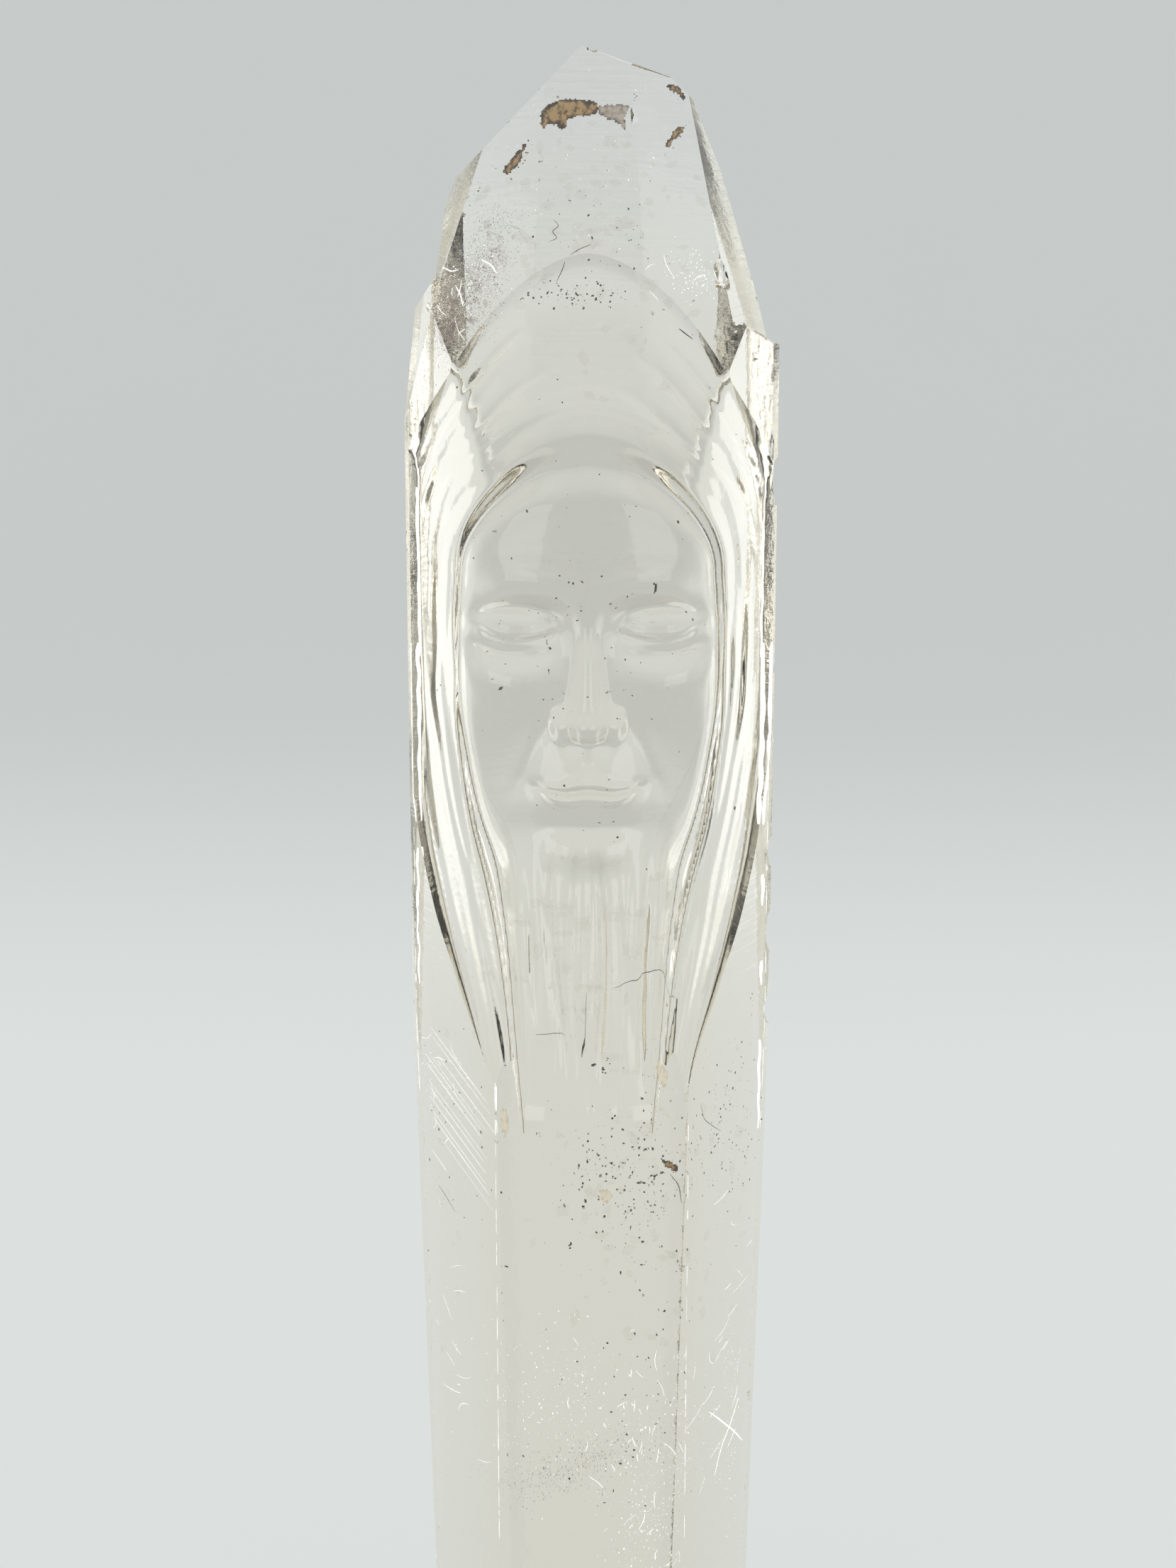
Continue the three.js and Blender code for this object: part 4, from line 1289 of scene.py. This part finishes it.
def painted_glint_rows(rng, x, low, high):
    """Short white stretches along one edge: painted glints."""
    rows, z = [], low
    while z < high:
        long = rng.uniform(0.4, 2.4)
        at_z = np.linspace(z, z + long, 6)
        taper = EDGE_TAPER * np.maximum(TAPER_Z - at_z, 0) * (abs(x) > OUTER_EDGE) * np.sign(x)
        rows.append((placed(x - taper, at_z, np.full(6, PAINTED_GLINT_DEPTH)), rng.uniform(0.02, 0.055)))
        z += long + rng.exponential(0.9)
    return rows


# Painted highlights along the outer edges: white stretches in the stone beside them that stand in for light
# on those edges; x, lowest and highest z, fullest radius and depth
EDGE_PAINTED_HIGHLIGHTS = (
    (13.05, 95, 105.5, 0.27, 0.7), (13.22, 82, 96, 0.34, 1.0), (13.22, 75.5, 78, 0.3, 1.0),
    (13.22, 69, 71, 0.3, 1.0), (13.22, 57, 64.5, 0.3, 1.0),
    (-12.8, 95, 108, 0.16, 0.65), (-12.9, 82, 96, 0.2, 1.0), (-12.9, 69, 80, 0.16, 1.0),
)


def painted_edge_highlight_rows(rng, x, low, high, fullest, depth):
    """Long white stretches that overlap along an outer edge: a painted highlight."""
    rows, z = [], low
    while z < high - 1:
        long = min(rng.uniform(2.0, 6.5), high - z)
        at_z = np.linspace(z, z + long, 10)
        at_x = x + 0.04 * rng.normal() + 0.04 * np.sin(2.3 * at_z)
        rows.append((placed(at_x, at_z, np.full(10, depth)), fullest * rng.uniform(0.55, 1.0)))
        z += long * rng.uniform(0.35, 0.7)
    return rows


def streak_rows(rng, count):
    """Soft slanting streaks side by side, on the left flank."""
    rows = []
    for i in range(count):
        x = np.linspace(-12.2, -7.6, 8) + rng.normal() * 0.3
        z = 66.0 - 0.75 * i - 0.72 * (x + 12.2) + 0.15 * rng.normal()
        rows.append((placed(x, z, np.full(8, STREAK_DEPTH)), rng.uniform(0.012, 0.03)))
    return rows


# White wisps: count, x, z, half width, half height and depth
WISPS = (
    (46, 4.0, 34.0, 4.2, 9.0, 1.6),
    (14, -10.3, 40.0, 1.6, 10.0, 1.0),
    (20, 10.6, 42.0, 1.6, 12.0, 1.0),
    (4, 6.6, 123.6, 1.8, 1.4, 0.6),
    (9, -9.6, 121.6, 1.8, 3.4, 0.8),
    (10, -11.0, 60.0, 1.8, 5.0, 0.7),
)
STREAKS = 12
STREAK_DEPTH = 0.5


def make_hairlines(look, rng):
    ink = mineral_material("dark_hairlines", (0.03, 0.027, 0.025), (0.10, 0.085, 0.07), 0.3, 0.9)
    ride_inside(tube_object("dark_hairlines", [hairline(*row) for row in DARK_HAIRLINES]), ink)
    # One white material for the wisps and white hairlines and for the painted glints and highlights along the
    # edges; it glows with painted light
    white = mineral_material("white_wisps", (0.82, 0.82, 0.80), (0.98, 0.98, 0.97), look.milk_painted_glow, 0.85)
    rows = [hairline(*row) for row in WHITE_HAIRLINES]
    # Painted glints: white stretches along the chipped edges
    for edge in PAINTED_GLINT_EDGES:
        rows += painted_glint_rows(rng, *edge)
    # Painted highlights: white stretches along the outer edges
    for veil in EDGE_PAINTED_HIGHLIGHTS:
        rows += painted_edge_highlight_rows(rng, *veil)
    rows += streak_rows(rng, STREAKS)
    for wisp in WISPS:
        rows += wisp_rows(rng, *wisp)
    ride_inside(tube_object("white_wisps", rows), white)


class QUARTZ_OT_stains(Operator):
    """Make the iron stains and the rust grains"""

    bl_idname = "quartz.stains"
    bl_label = "Iron stains"

    def execute(self, context):
        make_stains(context.scene.quartz_look, np.random.default_rng(context.scene.quartz_shape.seed + 1))
        return {"FINISHED"}


class QUARTZ_OT_specks(Operator):
    """Make the dark specks"""

    bl_idname = "quartz.specks"
    bl_label = "Dark specks"

    def execute(self, context):
        make_specks(np.random.default_rng(context.scene.quartz_shape.seed + 2))
        return {"FINISHED"}


class QUARTZ_OT_clouds(Operator):
    """Make the dusky cloud and its veil, the warm haze and the milky flecks"""

    bl_idname = "quartz.clouds"
    bl_label = "Clouds"

    def execute(self, context):
        make_clouds(context.scene.quartz_look, np.random.default_rng(context.scene.quartz_shape.seed + 3))
        return {"FINISHED"}


class QUARTZ_OT_hairlines(Operator):
    """Make the dark hairlines, the white wisps, and the painted glints and highlights along the edges"""

    bl_idname = "quartz.hairlines"
    bl_label = "Hairlines"

    def execute(self, context):
        make_hairlines(context.scene.quartz_look, np.random.default_rng(context.scene.quartz_shape.seed + 4))
        return {"FINISHED"}


# Stage

STAGE_HALF_WIDTH = 0.9
STAGE_FRONT = -0.9
WALL_Y = 0.45
WALL_ROUND = 0.12
WALL_TOP = 0.9
GLOW_FADES_FROM, GLOW_FADES_TO = 0.14, 0.40
SIDE_GLOW_FROM, SIDE_GLOW_TO = 0.134, 0.23
SWEEP_STEPS = 24
DARKER = 0.97

# Lamps: name, place, width, height and the setting with the power
LAMPS = (
    ("right_window", (0.20, 0.17, 0.12), 0.12, 0.26, "right_power"),
    ("left_window", (-0.20, 0.17, 0.12), 0.12, 0.26, "left_power"),
    ("front_right", (0.32, -0.36, 0.06), 0.3, 0.3, "front_power"),
    ("front_left", (-0.32, -0.36, 0.06), 0.3, 0.3, "front_power"),
    ("top_panel", (0, 0.02, 0.6), 0.5, 0.5, "top_power"),
)
LAMP_AIM = (0, 0, 0.08)


def backdrop_profile():
    """The floor, the round sweep and the wall, as (y, z) from front to top."""
    profile = [(STAGE_FRONT, 0.0)]
    for i in range(SWEEP_STEPS + 1):
        t = math.radians(90) * i / SWEEP_STEPS
        profile.append((WALL_Y - WALL_ROUND * (1 - math.sin(t)), WALL_ROUND * (1 - math.cos(t))))
    return profile + [(WALL_Y, WALL_TOP)]


def backdrop_material(stage):
    """A pale sweep that glows, less toward the wall and more at both sides."""
    material, tree, shader, _ = new_material("pale_backdrop")
    grain = noise(tree, (0.05, 0.05, 0.05), 2.0)
    darker = [c * DARKER for c in stage.floor_color]
    axes = tree.nodes.new("ShaderNodeSeparateXYZ")
    feed(tree, axes, {"Vector": tree.nodes.new("ShaderNodeTexCoord").outputs["Object"]})
    back = smooth_ramp(tree, axes.outputs["Y"], GLOW_FADES_FROM, GLOW_FADES_TO)
    fade = math_node(tree, "MULTIPLY", back, stage.floor_glow - stage.wall_glow)
    middle = math_node(tree, "SUBTRACT", stage.floor_glow, fade)
    aside = smooth_ramp(tree, math_node(tree, "ABSOLUTE", axes.outputs["X"]), SIDE_GLOW_FROM, SIDE_GLOW_TO)
    sides = math_node(tree, "MULTIPLY", aside, stage.side_glow)
    feed(tree, shader, {
        "Roughness": 0.8,
        "Base Color": color_ramp(tree, grain, [(0.0, darker), (1.0, stage.floor_color)]),
        "Emission Strength": math_node(tree, "ADD", middle, sides),
        "Emission Color": (*stage.glow_color, 1),
    })
    return material


def make_backdrop(stage):
    profile = backdrop_profile()
    points = [(x, y, z) for y, z in profile for x in (-STAGE_HALF_WIDTH, STAGE_HALF_WIDTH)]
    faces = [(2 * i, 2 * i + 1, 2 * i + 3, 2 * i + 2) for i in range(len(profile) - 1)]
    backdrop = mesh_object("backdrop", np.array(points) / MM, faces)
    for face in backdrop.data.polygons:
        face.use_smooth = True
    backdrop.data.materials.append(backdrop_material(stage))


def make_world(stage):
    world = bpy.data.worlds.new("room")
    world.use_nodes = True
    values = {"Color": (*stage.sky, 1), "Strength": stage.sky_strength}
    feed(world.node_tree, world.node_tree.nodes["Background"], values)
    bpy.context.scene.world = world


def make_lamp(name, place, wide, high, power):
    lamp = bpy.data.lights.new(name, "AREA")
    lamp.shape = "RECTANGLE"
    lamp.size, lamp.size_y = wide, high
    lamp.energy = power
    piece = new_object(name, lamp)
    piece.location = place
    piece.rotation_euler = (Vector(LAMP_AIM) - Vector(place)).to_track_quat("-Z", "Y").to_euler()


def make_camera(stage):
    data = bpy.data.cameras.new("camera")
    data.sensor_fit = "VERTICAL"
    data.sensor_height = 36.0
    data.lens = stage.lens
    data.clip_start = 0.01
    data.clip_end = 10.0
    camera = new_object("camera", data)
    e = stage.elevation
    camera.location = (0, -stage.distance * math.cos(e), stage.look_at + stage.distance * math.sin(e))
    camera.rotation_euler = (math.radians(90) - e, 0, 0)
    bpy.context.scene.camera = camera


class QUARTZ_OT_stage(Operator):
    """Make the floor, the lamps and the camera"""

    bl_idname = "quartz.stage"
    bl_label = "Stage"

    def execute(self, context):
        stage = context.scene.quartz_stage
        make_backdrop(stage)
        make_world(stage)
        for name, place, wide, high, setting in LAMPS:
            make_lamp(name, place, wide, high, getattr(stage, setting))
        make_camera(stage)
        context.scene.view_settings.view_transform = "Standard"
        return {"FINISHED"}


class QUARTZ_PT_panel(Panel):
    """The steps that make the quartz point"""

    bl_label = "Carved quartz point"
    bl_idname = "QUARTZ_PT_panel"
    bl_space_type = "VIEW_3D"
    bl_region_type = "UI"
    bl_category = "Quartz"

    def draw(self, context):
        for step_class in STEPS:
            self.layout.operator(step_class.bl_idname)


STEPS = (
    QUARTZ_OT_stage,
    QUARTZ_OT_crystal,
    QUARTZ_OT_stains,
    QUARTZ_OT_specks,
    QUARTZ_OT_clouds,
    QUARTZ_OT_hairlines,
)
SETTINGS = {"quartz_look": QuartzLook, "quartz_shape": QuartzShape, "quartz_stage": QuartzStage}


def register():
    for kind in (*SETTINGS.values(), *STEPS, QUARTZ_PT_panel):
        bpy.utils.register_class(kind)
    for name, kind in SETTINGS.items():
        setattr(bpy.types.Scene, name, PointerProperty(type=kind))


def unregister():
    for name in SETTINGS:
        delattr(bpy.types.Scene, name)
    for kind in (QUARTZ_PT_panel, *reversed(STEPS), *reversed(SETTINGS.values())):
        bpy.utils.unregister_class(kind)


def main():
    register()
    for step_class in STEPS:
        group, action = step_class.bl_idname.split(".")
        getattr(getattr(bpy.ops, group), action)()


if __name__ == "__main__":
    main()
